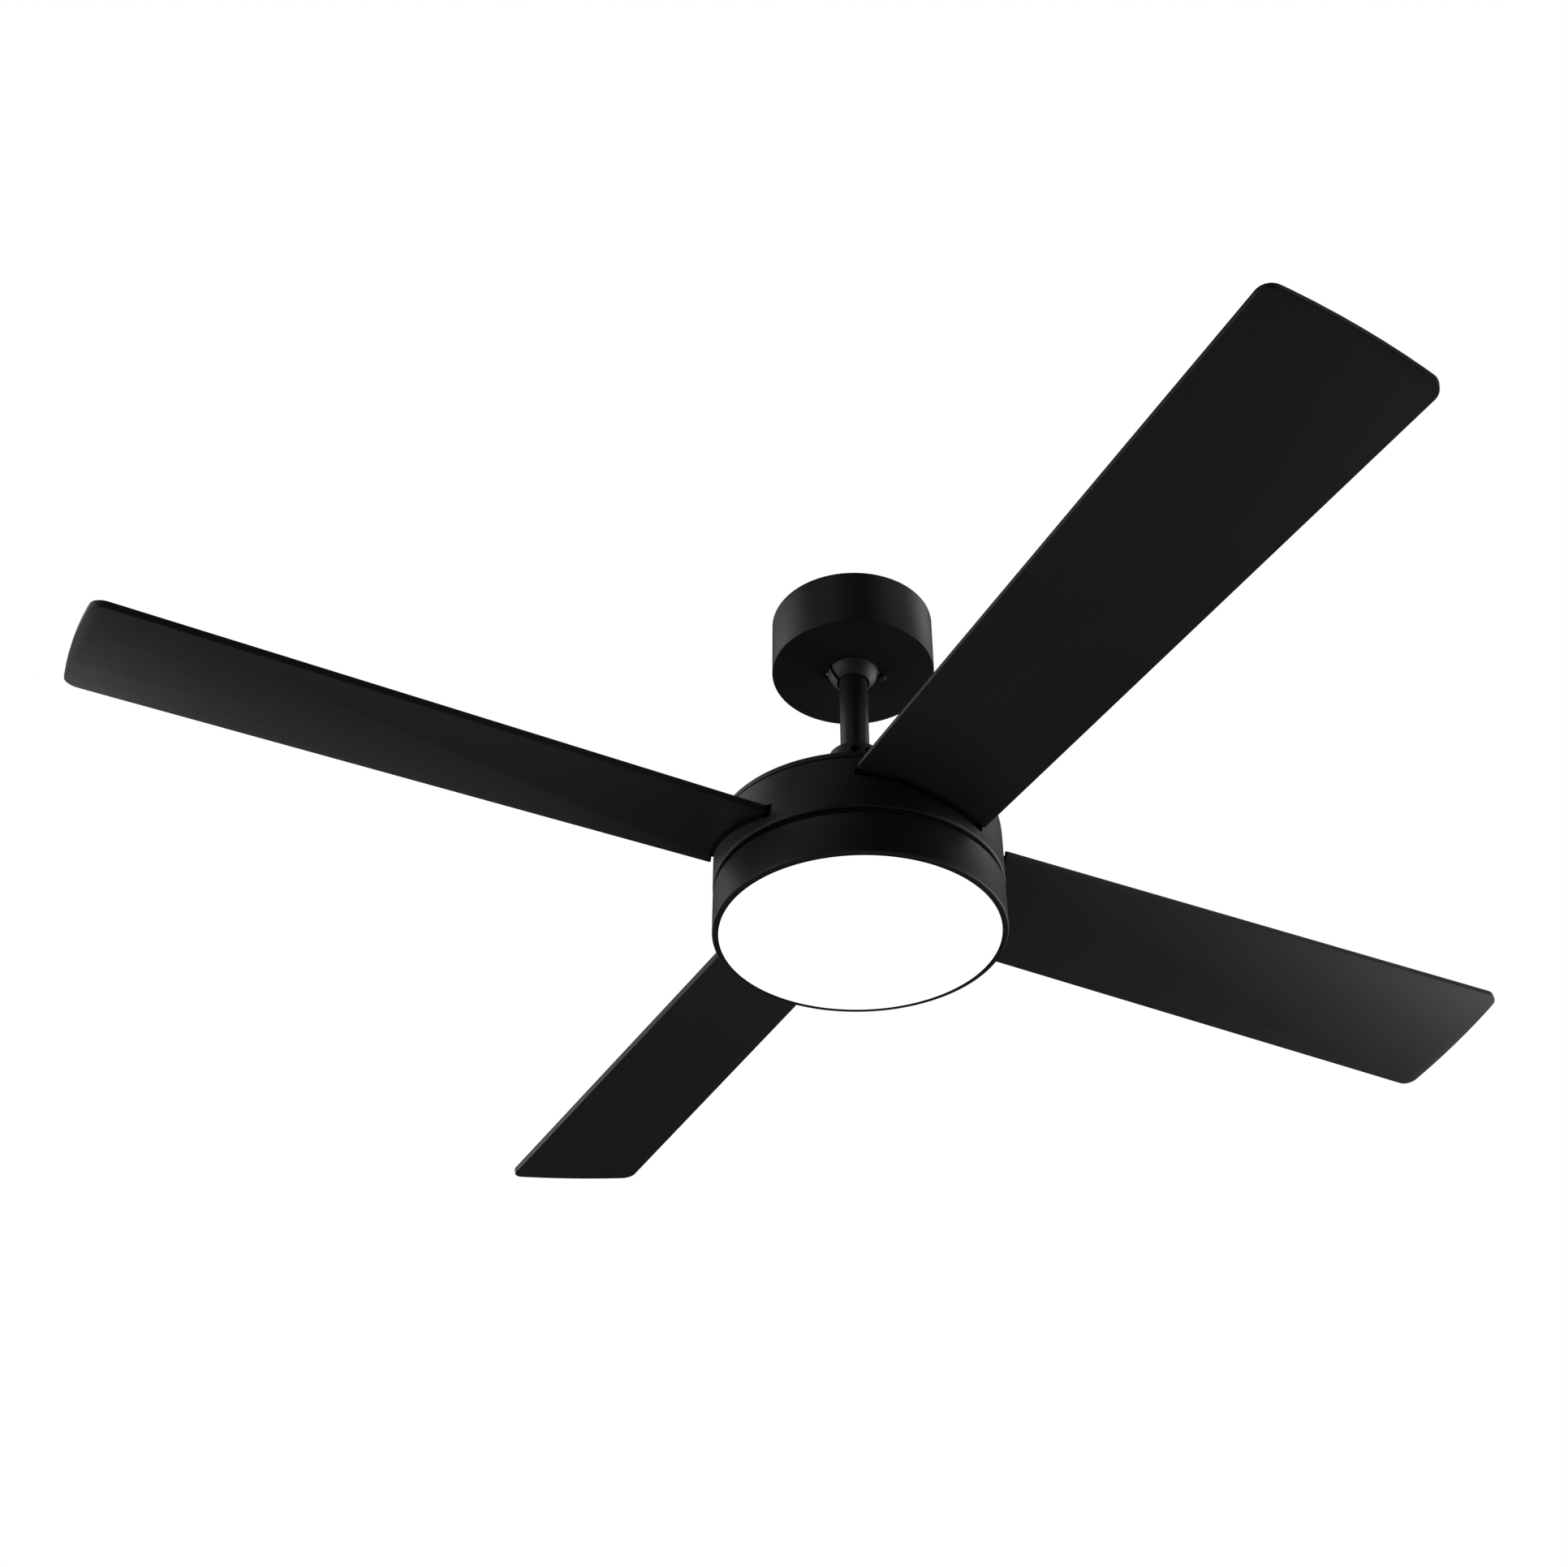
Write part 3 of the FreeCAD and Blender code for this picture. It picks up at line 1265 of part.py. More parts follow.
def blade_arm(index):
    """A cast arm: a wedge foot on the rotor flange and a pitched plate let into the blade."""
    body = new_body(f"blade_arm_{index + 1}")
    seat = dim("blade_thickness") - dim("arm_thickness")
    plate = pitched_sketch(body, seat)
    draw_outline(plate, arm_outline(NOUGHT))
    pad(body, plate, dim("arm_thickness"))
    inner = dim("arm_inner_reach")
    foot = new_sketch(body, "YZ_Plane", inner)
    trail, lead = -dim("arm_root_trail") * cosine(PITCH), dim("arm_root_lead") * cosine(PITCH)
    level = (seat + dim("arm_foot_overlap")) / cosine(PITCH) - dim("blade_drop")
    bottom = at_drop("case_flange_top_drop")
    draw_outline(foot, [
        (trail, bottom), (lead, bottom), (lead, level - lead * tangent(PITCH)),
        (trail, level - trail * tangent(PITCH)),
    ])
    pad(body, foot, dim("foot_outer_reach") - inner)
    reach, side = dim("foot_screw_reach"), dim("foot_screw_side")
    wells = new_sketch(body, "XY_Plane", bottom + dim("foot_screw_seat"))
    holes = new_sketch(body, "XY_Plane", bottom + dim("foot_screw_seat"))
    for sign in (-1, 1):
        draw_circle(wells, reach, side * sign, dim("screw_head_radius") + dim("foot_head_room"))
        draw_circle(holes, reach, side * sign, dim("screw_radius") + dim("screw_clearance"))
    pocket(body, wells, dim("case_flange_top_drop") - dim("shell_top_drop"), forwards=True)
    pocket(body, holes, dim("foot_screw_seat"))
    blade_holes = pitched_sketch(body, seat)
    for x, y in blade_screw_places():
        draw_circle(blade_holes, x, y, dim("screw_radius") + dim("screw_clearance"))
    pocket(body, blade_holes, dim("arm_thickness"), forwards=True)
    turn_to_blade(body, index)
    return body


def blade_screws():
    """Three screws on top of each arm plate, down into the blade."""
    body = new_body("blade_screws")
    top = dim("blade_thickness")
    tip = dim("blade_screw_skin") + dim("blade_screw_tip_gap")
    shank_sketch = pitched_sketch(body, tip)
    head_sketch = pitched_sketch(body, top)
    for x, y in blade_screw_places():
        draw_circle(shank_sketch, x, y, dim("screw_radius"))
        draw_circle(head_sketch, x, y, dim("screw_head_radius"))
    shanks = pad(body, shank_sketch, top - tip)
    heads = pad(body, head_sketch, dim("screw_head_height"))
    repeat_round(body, [shanks, heads], dim("blade_count"))
    return body


def foot_screws():
    """Two screws through each arm's foot into the rotor flange."""
    body = new_body("foot_screws")
    seat = at_drop("case_flange_top_drop") + dim("foot_screw_seat")
    bottom = at_drop("case_bottom_drop")
    reach, side = dim("foot_screw_reach"), dim("foot_screw_side")
    shank_sketch = new_sketch(body, "XY_Plane", bottom)
    head_sketch = new_sketch(body, "XY_Plane", seat)
    for sign in (-1, 1):
        draw_circle(shank_sketch, reach, side * sign, dim("screw_radius"))
        draw_circle(head_sketch, reach, side * sign, dim("screw_head_radius"))
    shanks = pad(body, shank_sketch, seat - bottom)
    heads = pad(body, head_sketch, dim("foot_head_height"))
    repeat_round(body, [shanks, heads], dim("blade_count"))
    return body


# ---------------------------------------------------------------- lamp

def lamp_housing():
    """The fixed drum under the rotor, with its inward lip round the diffuser."""
    radius, wall, lip = dim("lamp_radius"), dim("lamp_wall"), dim("lamp_lip_radius")
    bore = dim("shaft_radius")
    top, bottom = at_drop("lamp_top_drop"), at_drop("lamp_bottom_drop")
    body = turned("lamp_housing", [
        (bore, top), (radius, top), (radius, bottom), (lip, bottom), (lip, bottom + wall),
        (radius - wall, bottom + wall), (radius - wall, top - wall), (bore, top - wall),
    ])
    round_rims(body, dim("lamp_top_round"), [(radius, top)])
    round_rims(body, dim("lamp_rim_round"), [(radius, bottom)])
    return body


def lamp_washer():
    high = at_drop("lamp_top_drop") - dim("lamp_wall")
    low = high - dim("washer_thickness")
    return turned("lamp_washer", tube_points(dim("shaft_radius"), dim("washer_radius"), low, high))


def lamp_nut():
    """The hexagon nut that clamps the drum to the shaft's collar."""
    high = at_drop("lamp_top_drop") - dim("lamp_wall") - dim("washer_thickness")
    low = high - dim("nut_height")
    prism = doc.addObject("Part::Prism", "nut_blank")
    prism.Polygon = 6
    prism.setExpression("Circumradius", "Dims.nut_flats / 2 / cos(30 deg)")
    bind(prism, "Height", dim("nut_height"))
    prism.Placement.Base.z = low.number
    bore = cylinder("nut_bore", dim("shaft_radius"), low - PAST, high + PAST, Placement())
    return cut("lamp_nut", prism, [bore])


def drilled_disc(label, radius, low, high):
    """A round plate with the four fixing holes of the light unit."""
    body = new_body(label)
    sketch = new_sketch(body, "XY_Plane", low)
    draw_circle(sketch, NOUGHT, NOUGHT, radius)
    pad(body, sketch, high - low)
    screw_holes(body, dim("spacer_reach"), 4, high, high - low)
    return body


def led_chips():
    """The light chips, in rings under the board."""
    rings = []
    under = at_drop("plate_drop") - dim("plate_thickness") - dim("board_thickness")
    for number, (reach, count) in enumerate(LED_RINGS.items(), start=1):
        body = new_body(f"led_ring_{number}")
        sketch = new_sketch(body, "XY_Plane", under - dim("chip_height"))
        half_length, half_width = dim("chip_length") / 2, dim("chip_width") / 2
        draw_box(sketch, as_size(reach) - half_length, -half_width,
                 as_size(reach) + half_length, half_width)
        chip = pad(body, sketch, dim("chip_height"))
        repeat_round(body, [chip], count)
        rings.append(body)
    return together("led_chips", rings)


def lamp_spacers():
    """Four threaded spacers between the drum's top and the light unit."""
    body = new_body("lamp_spacers")
    high = at_drop("lamp_top_drop") - dim("lamp_wall")
    low = at_drop("plate_drop")
    sketch = new_sketch(body, "XY_Plane", low)
    draw_circle(sketch, dim("spacer_reach"), NOUGHT, dim("spacer_radius"))
    draw_circle(sketch, dim("spacer_reach"), NOUGHT, dim("screw_radius") + dim("spacer_screw_gap"))
    spacer = pad(body, sketch, high - low)
    repeat_round(body, [spacer], 4)
    return body


def led_driver():
    """The power supply on the plate's upper face."""
    body = new_body("led_driver")
    sketch = new_sketch(body, "XY_Plane", at_drop("plate_drop"))
    half_length, half_width = dim("driver_length") / 2, dim("driver_width") / 2
    draw_box(sketch, -half_length, -half_width, half_length, half_width)
    pad(body, sketch, dim("driver_height"))
    return body


def diffuser():
    """The opal disc, with a flange that rests on the drum's lip."""
    face, flange = dim("diffuser_radius"), dim("diffuser_flange_radius")
    bottom = at_drop("diffuser_bottom_drop")
    inside = bottom + dim("diffuser_thickness")
    rest = at_drop("lamp_bottom_drop") + dim("lamp_wall") + dim("diffuser_seat_gap")
    rest_top = rest + dim("diffuser_flange_thickness")
    inner = face - dim("diffuser_side_wall")
    body = turned("diffuser", [
        (NOUGHT, bottom), (face, bottom), (face, rest), (flange, rest), (flange, rest_top),
        (inner, rest_top), (inner, inside), (NOUGHT, inside),
    ])
    round_rims(body, dim("diffuser_round"), [(face, bottom)])
    return body


# ---------------------------------------------------------------- build and write

def build_all():
    for make in (hanger_bracket, ground_screw, canopy, canopy_screw, receiver_case, receiver_lid,
                 receiver_board, terminal_block, slot_key, hanger_ball, ball_screw, downrod,
                 rod_pin, coupling, coupling_screws, coupling_pin, coupling_clip, motor_shaft):
        keep(make())
    shaft, race = dim("shaft_radius"), dim("bearing_race")
    keep(bearing_rings("bearing_inner_rings", shaft, shaft + race))
    outer = dim("bearing_radius")
    keep(bearing_rings("bearing_outer_rings", outer - race, outer))
    for make in (bearing_balls, stator_core, stator_windings, rotor_magnets, rotor_upper_case,
                 rotor_lower_case, housing_cover, motor_housing, blade_screws, foot_screws):
        keep(make())
    keep(screw_ring("case_screws", dim("case_radius") - dim("case_screw_inset"), 8,
                    at_drop("case_top_drop"), at_drop("case_split_drop") - dim("case_screw_reach_below")))
    top = at_drop("shell_top_drop")
    keep(screw_ring("cover_screws", dim("post_reach"), 4, top, top - dim("cover_screw_length")))
    keep(screw_ring("housing_screws", dim("shell_screw_reach"), 6, top, top - dim("shell_screw_length")))
    for index in range(int(dim("blade_count").number)):
        keep(blade(index))
        keep(blade_arm(index))
    for make in (lamp_housing, lamp_washer, lamp_nut, lamp_spacers, led_driver, led_chips, diffuser):
        keep(make())
    plate_top = at_drop("plate_drop")
    board_top = plate_top - dim("plate_thickness")
    board_low = board_top - dim("board_thickness")
    keep(drilled_disc("heat_plate", dim("plate_radius"), board_top, plate_top))
    keep(drilled_disc("led_board", dim("board_radius"), board_low, board_top))
    keep(screw_ring("led_screws", dim("spacer_reach"), 4, board_low,
                    at_drop("lamp_top_drop") - dim("led_screw_end_gap"), head_down=True))


def write_parts():
    """Check every object, then write one file for each sub-part."""
    doc.recompute()
    for item in doc.Objects:
        if "Invalid" in item.State or "Error" in item.State:
            raise RuntimeError(f"{item.Name} failed: {item.State}")
    for piece in nodes:
        if piece.Shape.isNull() or not piece.Shape.isValid():
            raise RuntimeError(f"{piece.Label} has no valid shape")
    os.makedirs("parts", exist_ok=True)
    for piece in nodes:
        piece.Shape.exportStep(os.path.join("parts", f"{piece.Label}.step"))
        print(f"{piece.Label}: {len(piece.Shape.Solids)} solids, {piece.Shape.Volume / 1000:.2f} cm3")


build_all()
write_parts()
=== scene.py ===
"""Looks of a ball-hung ceiling fan with a flat light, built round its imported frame."""

import json
import math

import bmesh
import bpy
from mathutils import Matrix, Vector


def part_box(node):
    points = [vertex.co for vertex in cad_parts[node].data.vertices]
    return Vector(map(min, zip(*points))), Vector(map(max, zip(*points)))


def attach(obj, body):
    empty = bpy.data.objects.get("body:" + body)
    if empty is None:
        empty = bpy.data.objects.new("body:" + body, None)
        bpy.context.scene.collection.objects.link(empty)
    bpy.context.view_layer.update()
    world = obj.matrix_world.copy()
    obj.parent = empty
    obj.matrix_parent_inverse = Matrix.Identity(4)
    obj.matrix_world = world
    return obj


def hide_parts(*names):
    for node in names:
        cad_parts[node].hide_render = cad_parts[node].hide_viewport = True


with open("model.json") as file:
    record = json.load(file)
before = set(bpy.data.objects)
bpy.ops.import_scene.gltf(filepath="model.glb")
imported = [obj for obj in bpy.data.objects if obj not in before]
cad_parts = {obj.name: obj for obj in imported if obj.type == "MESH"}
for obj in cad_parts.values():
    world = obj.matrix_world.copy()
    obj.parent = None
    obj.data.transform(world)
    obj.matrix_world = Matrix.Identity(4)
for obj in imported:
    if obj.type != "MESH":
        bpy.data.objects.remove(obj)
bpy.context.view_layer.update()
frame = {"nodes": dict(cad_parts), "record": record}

MM = 0.001
TURN = 2 * math.pi

# ---------------------------------------------------------------- places from the frame

CANOPY_LOW, CANOPY_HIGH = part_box("canopy")
BALL_LOW, BALL_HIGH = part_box("hanger_ball")
ROD_LOW, ROD_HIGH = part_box("downrod")
COUPLING_LOW, COUPLING_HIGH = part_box("coupling")
COVER_LOW, COVER_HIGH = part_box("housing_cover")
HOUSING_LOW, HOUSING_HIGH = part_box("motor_housing")
LAMP_LOW, LAMP_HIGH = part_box("lamp_housing")
DIFFUSER_LOW, DIFFUSER_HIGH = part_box("diffuser")
SCREW_LOW, SCREW_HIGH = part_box("canopy_screw")

# ---------------------------------------------------------------- sizes of the looks

# Each drop is measured down from the ceiling. Steps say how finely a round is divided.
LATHE_STEPS = 256
ROUND_STEPS = 5
RIM_STEPS = 4
CIRCLE_STEPS = 24
HOLE_STEPS = 32
SHARP_ANGLE = math.radians(32.0)
SAME_POINT = 1e-7              # points this close are one
NO_LENGTH = 1e-8               # an edge this short is none
MITRE_LIMIT = 0.5              # keeps a sharp corner from being thrown far out
THIN_EDGE = 0.3 * MM
PAST = 1 * MM                  # how far a cutter passes a face

# the canopy
CANOPY_WALL = 1.2 * MM
CANOPY_HOLE = 24.1 * MM        # radius of the mouth round the ball
CANOPY_EDGE = 1.0 * MM
CANOPY_INNER_EDGE = 0.5 * MM
CANOPY_SCREW_HOLE = 1.6 * MM
CANOPY_SCREW_REACH = 27.2 * MM # out from the fan's axis
CANOPY_SCREW_SIDE = -20.0      # bearing round the fan's axis, degrees

# the canopy's thumb screw
THUMB_STEPS = 80
THUMB_RIBS = 20
THUMB_RIB_DEPTH = 0.16 * MM
THUMB_RIB_BAND = 0.1 * MM      # only points this near the grip are knurled
THUMB_BEVEL = 0.6 * MM
THUMB_EDGE = 0.2 * MM
THUMB_SHOULDER = 1.5 * MM      # below the canopy
THUMB_NECK = 1.1 * MM          # below the canopy
THUMB_NECK_INSET = 1.3 * MM
THUMB_SHANK = 1.5 * MM
THUMB_GAP = 0.05 * MM          # below the canopy
THUMB_SLOT = 0.5 * MM          # half its width
THUMB_SLOT_REACH = 5 * MM      # half its length
THUMB_SLOT_DEPTH = 1.0 * MM

# the hanger ball
BALL_STEPS = 192
BALL_ARC_STEPS = 40
BALL_DROP = 50.0 * MM
BALL_RADIUS = 24.5 * MM
BALL_BORE = 14.4 * MM
BALL_SLOT = 2.0 * MM           # half its width
BALL_SLOT_INNER = 10 * MM      # from the ball's axis
BALL_SLOT_ABOVE = 9.0 * MM     # above the ball's middle
BALL_NOTCH = 3.1 * MM          # half its width
BALL_NOTCH_DEPTH = 5.1 * MM
BALL_NOTCH_REACH = 20 * MM     # half its length
BALL_CUT_PAST = 5 * MM

# the downrod
ROD_STEPS = 128
ROD_WALL = 2.0 * MM
ROD_PIN_RADIUS = 3.0 * MM
ROD_PIN_DROP = 38.0 * MM
ROD_CUT_REACH = 20 * MM        # half the cutter's length

# the coupling and its two set screws
SHAFT_RADIUS = 8.0 * MM
COUPLING_STEPS = 192
COUPLING_BORE = 13.1 * MM
COUPLING_FLOOR = 200.0 * MM    # foot of its bore, below the ceiling
COUPLING_STEP = 205.0 * MM     # below the ceiling
COUPLING_TAPER = 6 * MM
COUPLING_NECK = 17.0 * MM
COUPLING_EDGE = 1.0 * MM
COUPLING_NECK_EDGE = 0.5 * MM
COUPLING_TAPER_EDGE = 1.5 * MM
COUPLING_PIN_STEPS = 40
COUPLING_PIN_DROP = 186.0 * MM
COUPLING_PIN_RADIUS = 4.0 * MM
COUPLING_CUT_REACH = 30 * MM   # half the cutter's length
COUPLING_SCREW_DROP = 163.4 * MM
COUPLING_SCREW_HOLE = 3.5 * MM
COUPLING_SCREW_SIDES = (-120.0, -90.0)# bearings round the fan's axis, degrees
DRILL_START = 10 * MM          # from the fan's axis
DRILL_BEVEL_DEPTH = 0.4 * MM
DRILL_BEVEL_FLARE = 0.5 * MM
DRILL_PAST = 0.3 * MM
SET_SCREW_GAP = 0.05 * MM
SET_SCREW_RECESS = 4 * MM
SET_SCREW_TIP = 0.6 * MM
SET_SCREW_BEVEL = 0.5 * MM
SOCKET_RADIUS = 1.9 * MM
SOCKET_SIDES = 6
SOCKET_FLOOR = 19 * MM         # from the fan's axis
SOCKET_CUT_END = 24 * MM       # from the fan's axis

# the housing, its cover and its slots
HOUSING_WALL = 1.5 * MM
HOUSING_SHOULDER = 250.9 * MM  # below the ceiling
HOUSING_FLANGE_REACH = 104.0 * MM# radius of the opening in its top
HOUSING_LIP = 4.0 * MM
HOUSING_LIP_HEIGHT = 2 * MM
HOUSING_NECK_GAP = 0.4 * MM
HOUSING_SHOULDER_EDGE = 0.5 * MM
HOUSING_BEAD = 2.0 * MM
COVER_HOLE = 28.0 * MM
COVER_HOLE_EDGE = 0.5 * MM
COVER_RIM_EDGE = 0.4 * MM
COVER_TOP_EDGE = 0.8 * MM
SLOT_TRAIL = 62.7 * MM         # from the blade's middle line
SLOT_LEAD = 56.2 * MM          # from the blade's middle line
SLOT_BELOW = 3.1 * MM          # below the blade's lower face
SLOT_ABOVE = 9.1 * MM          # above the blade's lower face
SLOT_CORNER = 1.8 * MM
SLOT_CORNER_STEPS = 6
SLOT_CUT = (90 * MM, 130 * MM) # from and to, out from the fan's axis

# the domed screws
HEAD_STEPS = 32
HEAD_RADIUS = 3.8 * MM
HEAD_HEIGHT = 2.0 * MM
HEAD_SHANK = 2.0 * MM
HEAD_SHANK_LENGTH = 4 * MM
HEAD_FOOT_EDGE = 0.15 * MM
HEAD_SHANK_EDGE = 0.2 * MM
HEAD_SHOULDER = 0.45           # of the head's height
HEAD_SHOULDER_EDGE = 0.4       # of the head's height
HEAD_CROWN = 0.55              # of the head's radius
HEAD_CROWN_EDGE = 0.5          # of the head's height
CROSS_WING = 0.32 * MM
CROSS_REACH = 0.62             # of the head's radius
CROSS_DEPTH = 1.1 * MM
COVER_SCREWS = {"count": 4, "reach": 55.0 * MM, "turn": 20}# turn in degrees, from one to the next
HOUSING_SCREWS = {"count": 6, "reach": 111.0 * MM, "turn": 35}# turn in degrees

# the blades
BLADE_TURNS = (0, 90, 180, 270)
PITCH = math.radians(11.55)
BLADE_DROP = 278.2 * MM
BLADE_THICKNESS = 6.0 * MM
BLADE_ROOT = 127.3 * MM
BLADE_TIP = 660.0 * MM
BLADE_SIDES = {"trail": (63.2 * MM, 70.3 * MM), "lead": (56.5 * MM, 69.7 * MM)}# at root and tip
BLADE_CORNER = 12.0 * MM
BLADE_CORNER_STEPS = 10
BLADE_TIP_STEPS = 8
BLADE_ROOT_STEPS = 24
BLADE_EDGE = 0.7 * MM
ROOT_CORNER = 1.5 * MM
BLADE_SCREWS = ((164 * MM, -20 * MM), (164 * MM, 20 * MM), (190 * MM, 0))# along and across

# the blade arms
ARM_THICKNESS = 3.0 * MM
ARM_LEVEL = BLADE_THICKNESS - ARM_THICKNESS# above the blade's lower face
ARM_GAP = 0.2 * MM
ARM_EDGE = 0.35 * MM
ARM_INNER = 84.0 * MM          # out from the fan's axis
ARM_INNER_SIDES = {"trail": 46 * MM, "lead": 42 * MM}
ARM_WIDEST = 100 * MM          # out from the fan's axis
ARM_SIDES = {"trail": 57.5 * MM, "lead": 50.0 * MM}
ARM_SHOULDER = 138 * MM
ARM_NECK = 152 * MM
ARM_TONGUE = 34.0 * MM         # half its width
ARM_END = 204 * MM
ARM_END_CHAMFER = 12 * MM
ARM_CORNER = 5 * MM
FOOT_OUTER = 112.0 * MM
FOOT_OVERLAP = 1 * MM
FLANGE_TOP = 288.0 * MM        # below the ceiling
WELL_RADIUS = 4.2 * MM
WELL_REACH = 98 * MM           # out from the fan's axis
WELL_SIDES = (-26 * MM, 26 * MM)# across the arm
WELL_FLOOR = 4.5 * MM          # above the rotor's flange
WELL_TOP = 40 * MM             # above the rotor's flange

# the lamp and its diffuser
LAMP_WALL = 1.5 * MM
LAMP_LIP = 119.7 * MM          # radius of the opening that the disc shows through
LAMP_EDGE = 1.4 * MM
LAMP_INNER_EDGE = 0.5 * MM
DIFFUSER_FACE = 119.3 * MM     # the disc's radius
DIFFUSER_GLOW = 1.02
# a rim of painted shade: the disc's edge is coloured near black, standing in for the shaded gap under the
# lamp's lip, and its glow fades out there
DIFFUSER_PAINTED_SHADE_RIM = 0.9 * MM
DIFFUSER_PAINTED_SHADE_FADE = 0.3 * MM
DIFFUSER_WALL = 2.4 * MM
DIFFUSER_EDGE = 0.8 * MM
DIFFUSER_SEAT_GAP = 0.2 * MM
DIFFUSER_FLANGE = 2 * MM
DIFFUSER_SIDE_WALL = 2.5 * MM

# the camera, the floor and the lights
CAMERA_OUT = 1.4218            # camera's distance from the fan's axis
CAMERA_DROP = 1.2577           # camera's distance below the ceiling
CAMERA_SIDE = -119.19          # bearing of the camera round the axis, degrees
CAMERA_YAW = -2.567            # turned from the axis, degrees
CAMERA_PITCH = 37.082          # looking up, degrees
CAMERA_LENS = 46.24
CAMERA_SENSOR = 36.0
CAMERA_NEAR = 0.01
CAMERA_FAR = 100.0
FLOOR_DROP = 4.5
FLOOR_RADIUS = 8.0
FLOOR_THICKNESS = 0.02
FLOOR_STEPS = 96
FLOOR_GLOW = 0.085             # the little light that the floor gives back
AMBIENT = 0.002
SOFT_BOX_SIZE = 1.0
SOFT_BOX_REACH = 2.2           # from the point that they are aimed at
SOFT_BOX_AIM_DROP = 0.25
SOFT_BOXES = {                 # bearing from the camera's right, height angle, watts
    "right": (0, 0, 10),
    "right_back": (30, 0, 14),
    "back": (120, 0, 1),
    "left_back": (150, 0, 7),
    "left": (180, 0, 3),
    "left_front": (210, 0, 8.5),
    "low_right_back": (30, -25, 8.5),
    "high_right_back": (30, 45, 3.5),
    "high_right_front": (-30, 45, 1.5),
    "high_left_back": (150, 35, 2.5),
    "high_left": (180, 35, 3.5),
    "high_left_front": (240, 45, 1),
}


# ---------------------------------------------------------------- materials

def shader_of(name):
    """A new material with its node tree and main shader."""
    material = bpy.data.materials.new(name)
    material.use_nodes = True
    tree = material.node_tree
    shader = tree.nodes["Principled BSDF"]
    return material, tree, shader


def object_point(tree, stretch=(1.0, 1.0, 1.0)):
    """The point on the object's own surface, stretched along its axes."""
    place = tree.nodes.new("ShaderNodeTexCoord")
    mapping = tree.nodes.new("ShaderNodeMapping")
    mapping.inputs["Scale"].default_value = stretch
    tree.links.new(place.outputs["Object"], mapping.inputs["Vector"])
    return mapping.outputs["Vector"]


def noise(tree, point, scale, detail=3.0, roughness=0.55):
    node = tree.nodes.new("ShaderNodeTexNoise")
    node.inputs["Scale"].default_value = scale
    node.inputs["Detail"].default_value = detail
    node.inputs["Roughness"].default_value = roughness
    tree.links.new(point, node.inputs["Vector"])
    return node.outputs["Fac"]


def spread(tree, value, low, high, start=0.3, end=0.7):
    """Map a noise value onto a range of numbers."""
    node = tree.nodes.new("ShaderNodeMapRange")
    node.inputs["From Min"].default_value = start
    node.inputs["From Max"].default_value = end
    node.inputs["To Min"].default_value = low
    node.inputs["To Max"].default_value = high
    tree.links.new(value, node.inputs["Value"])
    return node.outputs["Result"]


def tint(tree, value, dark, light, start=0.3, end=0.7):
    """Map a noise value onto a range between two colours."""
    ramp = tree.nodes.new("ShaderNodeValToRGB")
    ramp.color_ramp.elements[0].position = start
    ramp.color_ramp.elements[0].color = (*dark, 1.0)
    ramp.color_ramp.elements[1].position = end
    ramp.color_ramp.elements[1].color = (*light, 1.0)
    tree.links.new(value, ramp.inputs["Fac"])
    return ramp.outputs["Color"]


def bump(tree, shader, height, depth):
    node = tree.nodes.new("ShaderNodeBump")
    node.inputs["Strength"].default_value = 1.0
    node.inputs["Distance"].default_value = depth
    tree.links.new(height, node.inputs["Height"])
    tree.links.new(node.outputs["Normal"], shader.inputs["Normal"])


def grained(name, dark, light, rough, metal=0.0, scale=900.0, depth=0.00004, stretch=(1, 1, 1),
            patch_scale=18.0, specular=0.5):
    """A surface with fine grain, soft patches of tone and an uneven gloss."""
    material, tree, shader = shader_of(name)
    point = object_point(tree, stretch)
    plain_point = object_point(tree)
    patches = noise(tree, plain_point, patch_scale, 4.0)
    grain = noise(tree, point, scale, 2.0)
    tree.links.new(tint(tree, patches, dark, light), shader.inputs["Base Color"])
    tree.links.new(spread(tree, patches, rough - 0.04, rough + 0.04), shader.inputs["Roughness"])
    shader.inputs["Metallic"].default_value = metal
    shader.inputs["Specular IOR Level"].default_value = specular
    bump(tree, shader, grain, depth)
    return material


def powder_coat():
    """Matt black stoved powder on pressed steel, with its fine orange peel."""
    return grained("powder_coat", (0.0155, 0.0155, 0.0160), (0.0195, 0.0195, 0.0200), 0.46,
                   scale=1400.0, depth=0.00003)


def blade_lacquer():
    """Matt black lacquer over a board, with a faint long grain and fine orange peel."""
    material, tree, shader = shader_of("blade_lacquer")
    along = object_point(tree, (1.0, 22.0, 22.0))
    plain = object_point(tree)
    long_grain = noise(tree, along, 9.0, 5.0, 0.6)
    peel = noise(tree, plain, 1300.0, 2.0)
    patches = noise(tree, plain, 7.0, 3.0)
    colour = tint(tree, patches, (0.0185, 0.0185, 0.0190), (0.0225, 0.0225, 0.0230))
    tree.links.new(colour, shader.inputs["Base Color"])
    tree.links.new(spread(tree, long_grain, 0.46, 0.56), shader.inputs["Roughness"])
    mixed = tree.nodes.new("ShaderNodeMath")
    mixed.operation = "MULTIPLY_ADD"
    mixed.inputs[1].default_value = 0.6
    tree.links.new(long_grain, mixed.inputs[0])
    tree.links.new(peel, mixed.inputs[2])
    bump(tree, shader, mixed.outputs["Value"], 0.00004)
    return material


